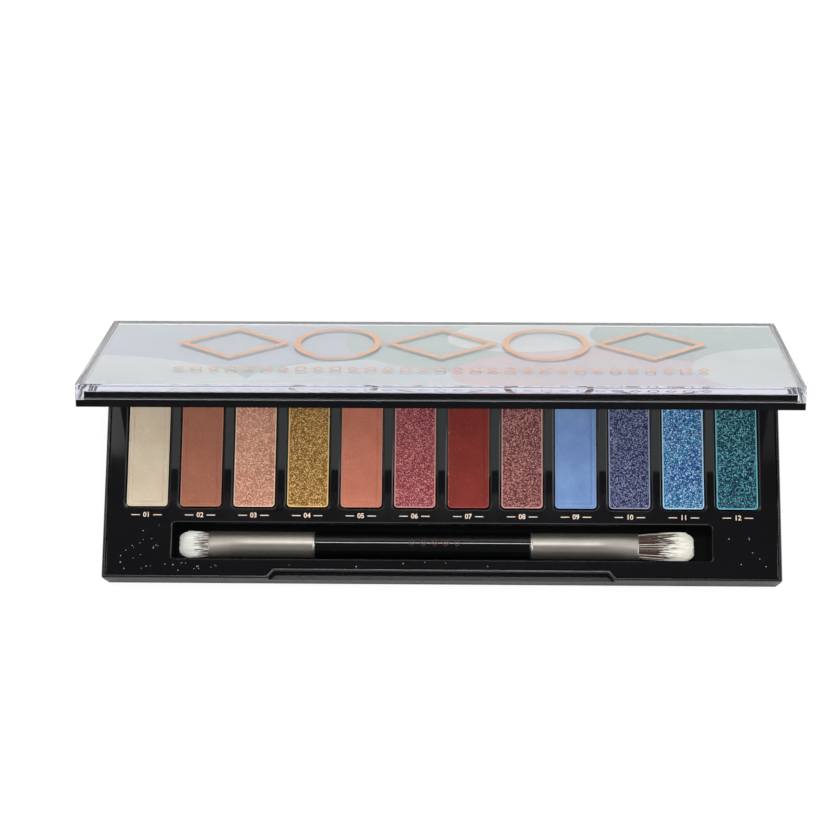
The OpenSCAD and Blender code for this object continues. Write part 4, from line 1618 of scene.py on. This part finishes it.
@dataclass
class Studio:
    """Camera, softboxes, sky and a plain pale floor."""

    camera_place: Point = (0.008962, -0.14677, 0.713004)
    camera_turn: Point = (12.8695, 1.1796, 0.5692)
    lens: float = 101.408
    sensor: float = 36.0
    clip: tuple[float, float] = (0.01, 50.0)
    sky: float = 0.38
    overhead: float = 2.0
    overhead_lean: float = 4.2
    key_way: Point = (0.75, -0.66, 0.0)
    key_glow: float = 4.0
    wall: float = 0.45
    zenith: float = 0.05
    bounces: int = 24
    floor_size: float = 8.0
    far_paper: str = "#f0f0f0"
    # In gloss the paper under the case's front takes this tone, a painted shadow
    painted_shadow_paper: str = "#b0b0b0"
    seen_paper: str = "#7c7c7c"
    sweep_near: float = 0.14
    sweep_far: float = 0.34
    # How strong the sweep's painted light is in gloss
    sweep_painted_light: float = 0.5
    paper_glow: float = 0.85
    white: str = "#ffffff"
    lamps: tuple[Lamp, ...] = (
        Lamp("softbox_left", (-0.9, -0.1, 0.66), (0, 0, 0), 0.5, 0.42, 2.5),
        Lamp("softbox_right", (0.9, -0.1, 0.66), (0, 0, 0), 0.5, 0.42, 4.5),
        Lamp("strip_behind", (-0.035, 0.2, 0.85), (-0.035, -0.02, 0), 0.33, 0.06, 0.9),
        Lamp("wing_left", (-0.44, 0.24, 0.85), (-0.44, -0.02, 0), 0.44, 0.12, 0.17),
        Lamp("wing_right", (0.33, 0.24, 0.85), (0.33, -0.02, 0), 0.36, 0.12, 0.035),
    )

    def camera(self) -> None:
        """The camera, looking steeply down from in front of the case."""
        data = bpy.data.cameras.new("camera")
        data.lens, data.sensor_width = self.lens, self.sensor
        data.clip_start, data.clip_end = self.clip
        camera = bpy.data.objects.new("camera", data)
        camera.location = self.camera_place
        camera.rotation_euler = Euler([math.radians(v) for v in self.camera_turn])
        bpy.context.scene.collection.objects.link(camera)
        bpy.context.scene.camera = camera

    def light(self) -> None:
        """The softboxes, which show in gloss but not to the camera."""
        for lamp in self.lamps:
            data = bpy.data.lights.new(lamp.name, "AREA")
            data.shape = "RECTANGLE"
            data.size, data.size_y, data.energy = lamp.wide, lamp.tall, lamp.power
            holder = bpy.data.objects.new(lamp.name, data)
            holder.location = lamp.place
            to = Vector(lamp.aim) - Vector(lamp.place)
            holder.rotation_euler = to.to_track_quat("-Z", "Y").to_euler()
            holder.visible_camera = False
            bpy.context.scene.collection.objects.link(holder)

    def air(self) -> None:
        """The sky: white to the eye and in glass, dim overhead in gloss, soft on matt things."""
        world = bpy.data.worlds.new("studio")
        bpy.context.scene.world = world
        tree = emptied(world)
        new = partial(add, tree)
        ray = new("LightPath").outputs
        outward = new("TexCoord").outputs["Generated"]
        height = new("SeparateXYZ", {"Vector": outward}).outputs["Z"]
        lean = math.radians(self.overhead_lean)
        above = (0.0, math.sin(lean), math.cos(lean))
        facing = new("VectorMath", {0: outward, 1: above}, operation="DOT_PRODUCT")
        # Matt things are lit by a wide bank overhead, which the open lid half hides from the pans
        ends = {"To Min": self.sky, "To Max": self.sky + self.overhead}
        bank = {"Value": facing, "From Min": 0.8, "From Max": 1.0, **ends}
        soft = new("MapRange", bank, interpolation_type="SMOOTHSTEP")
        # Low down at the front and right the room is brightest, which draws the edges
        toward = new("VectorMath", {0: outward, 1: self.key_way}, operation="DOT_PRODUCT")
        depths = {0: ray["Transmission Depth"], 1: 2.0, 2: ray["Glossy Depth"]}
        turns = new("Math", depths, operation="MULTIPLY_ADD")
        direct = new("Math", {0: turns, 1: 1.5}, operation="LESS_THAN")
        ends = {"From Min": 0.15, "From Max": 0.22, "To Min": 1.0, "To Max": 0.0}
        level = new("MapRange", {"Value": height, **ends})
        share = new("Math", {0: direct, 1: level}, operation="MULTIPLY")
        glow = new("Mix", {0: share, "A": 1.0, "B": self.key_glow})
        wall = new("Mix", {0: direct, "A": 1.0, "B": self.wall})
        ends = {"From Min": 0.45, "From Max": 0.65, "To Min": wall, "To Max": glow}
        low = new("MapRange", {"Value": toward, **ends})
        ends = {"From Min": 0.38, "From Max": 0.6, "To Min": low, "To Max": self.zenith}
        gloss = new("MapRange", {"Value": height, **ends})
        passing = ray["Is Transmission Ray"]
        mirrored = new("Math", {0: ray["Is Glossy Ray"], 1: passing}, operation="MAXIMUM")
        matt = new("Mix", {0: mirrored, "A": soft, "B": gloss})
        # What the clear plate mirrors inside itself is the room, and what it lets through is white
        straight = new("Math", {0: ray["Glossy Depth"], 1: 0.5}, operation="LESS_THAN")
        through = new("Math", {0: passing, 1: straight}, operation="MULTIPLY")
        seen = new("Math", {0: ray["Is Camera Ray"], 1: through}, operation="MAXIMUM")
        strength = new("Mix", {0: seen, "A": matt, "B": 1.0})
        back = new("Background", {"Color": srgb(self.white), "Strength": strength})
        new("OutputWorld", {"Surface": back})

    def floor(self) -> None:
        """A plain pale floor that looks white and keeps a soft shadow, with a painted shadow and
        painted light on it in gloss.
        """
        bpy.ops.object.select_all(action="DESELECT")
        bpy.ops.mesh.primitive_plane_add(size=self.floor_size)
        floor = bpy.context.active_object
        floor.name = floor.data.name = "studio_floor"
        material = bpy.data.materials.new("white_paper_sweep")
        tree = emptied(material)
        new = partial(add, tree)
        ray = new("LightPath").outputs
        glossy, passing = ray["Is Glossy Ray"], ray["Is Transmission Ray"]
        seen = new("Math", {0: ray["Is Camera Ray"], 1: passing}, operation="MAXIMUM")
        # In gloss the paper under the front of the case is painted darker, a painted shadow
        where = new("TexCoord").outputs["Object"]
        depth = new("SeparateXYZ", {"Vector": where}).outputs["Y"]
        ends = {"From Min": -0.02, "From Max": 0.02, "To Min": 1.0, "To Max": 0.0}
        front = new("MapRange", {"Value": depth, **ends})
        shaded = new("Math", {0: front, 1: glossy}, operation="MULTIPLY")
        papers = {"A": srgb(self.far_paper), "B": srgb(self.painted_shadow_paper)}
        sheet = new("Mix", {0: shaded, **papers}, data_type="RGBA")
        # In gloss the sweep gets painted light, an emission that brightens it away from the case,
        # where the room's light would reach it
        away = new("VectorMath", {0: where}, operation="LENGTH")
        ends = {"From Min": self.sweep_near, "From Max": self.sweep_far, "To Max": self.sweep_painted_light}
        rise = new("MapRange", {"Value": away, **ends}, interpolation_type="SMOOTHSTEP")
        painted_lift = new("Math", {0: rise, 1: glossy}, operation="MULTIPLY")
        sides = []
        for colour, glow in ((sheet, painted_lift), (srgb(self.seen_paper), self.paper_glow)):
            paper = new("BsdfDiffuse", {"Color": colour})
            lit = new("Emission", {"Color": srgb(self.white), "Strength": glow})
            sides.append(new("AddShader", {0: paper, 1: lit}))
        both = new("MixShader", {0: seen, 1: sides[0], 2: sides[1]})
        new("OutputMaterial", {"Surface": both})
        floor.data.materials.append(material)

    def build(self) -> None:
        """Sets the studio up with plain colour management."""
        scene = bpy.context.scene
        scene.view_settings.view_transform = "Standard"
        # Light runs lengthwise through the clear plate in a dozen inner reflections
        scene.cycles.glossy_bounces = self.bounces
        scene.cycles.transmission_bounces = self.bounces
        scene.cycles.max_bounces = self.bounces
        self.camera()
        self.light()
        self.air()
        self.floor()
        log.info("studio: %d lamps", len(self.lamps))


def main() -> None:
    """Builds the studio and the palette, piece by piece."""
    logging.basicConfig(level=logging.INFO, format="%(name)s: %(message)s")
    Studio().build()
    case = Case()
    case.build()
    Pans(case).build()
    Brush().build()
    Lid().build()


if __name__ == "__main__":
    main()
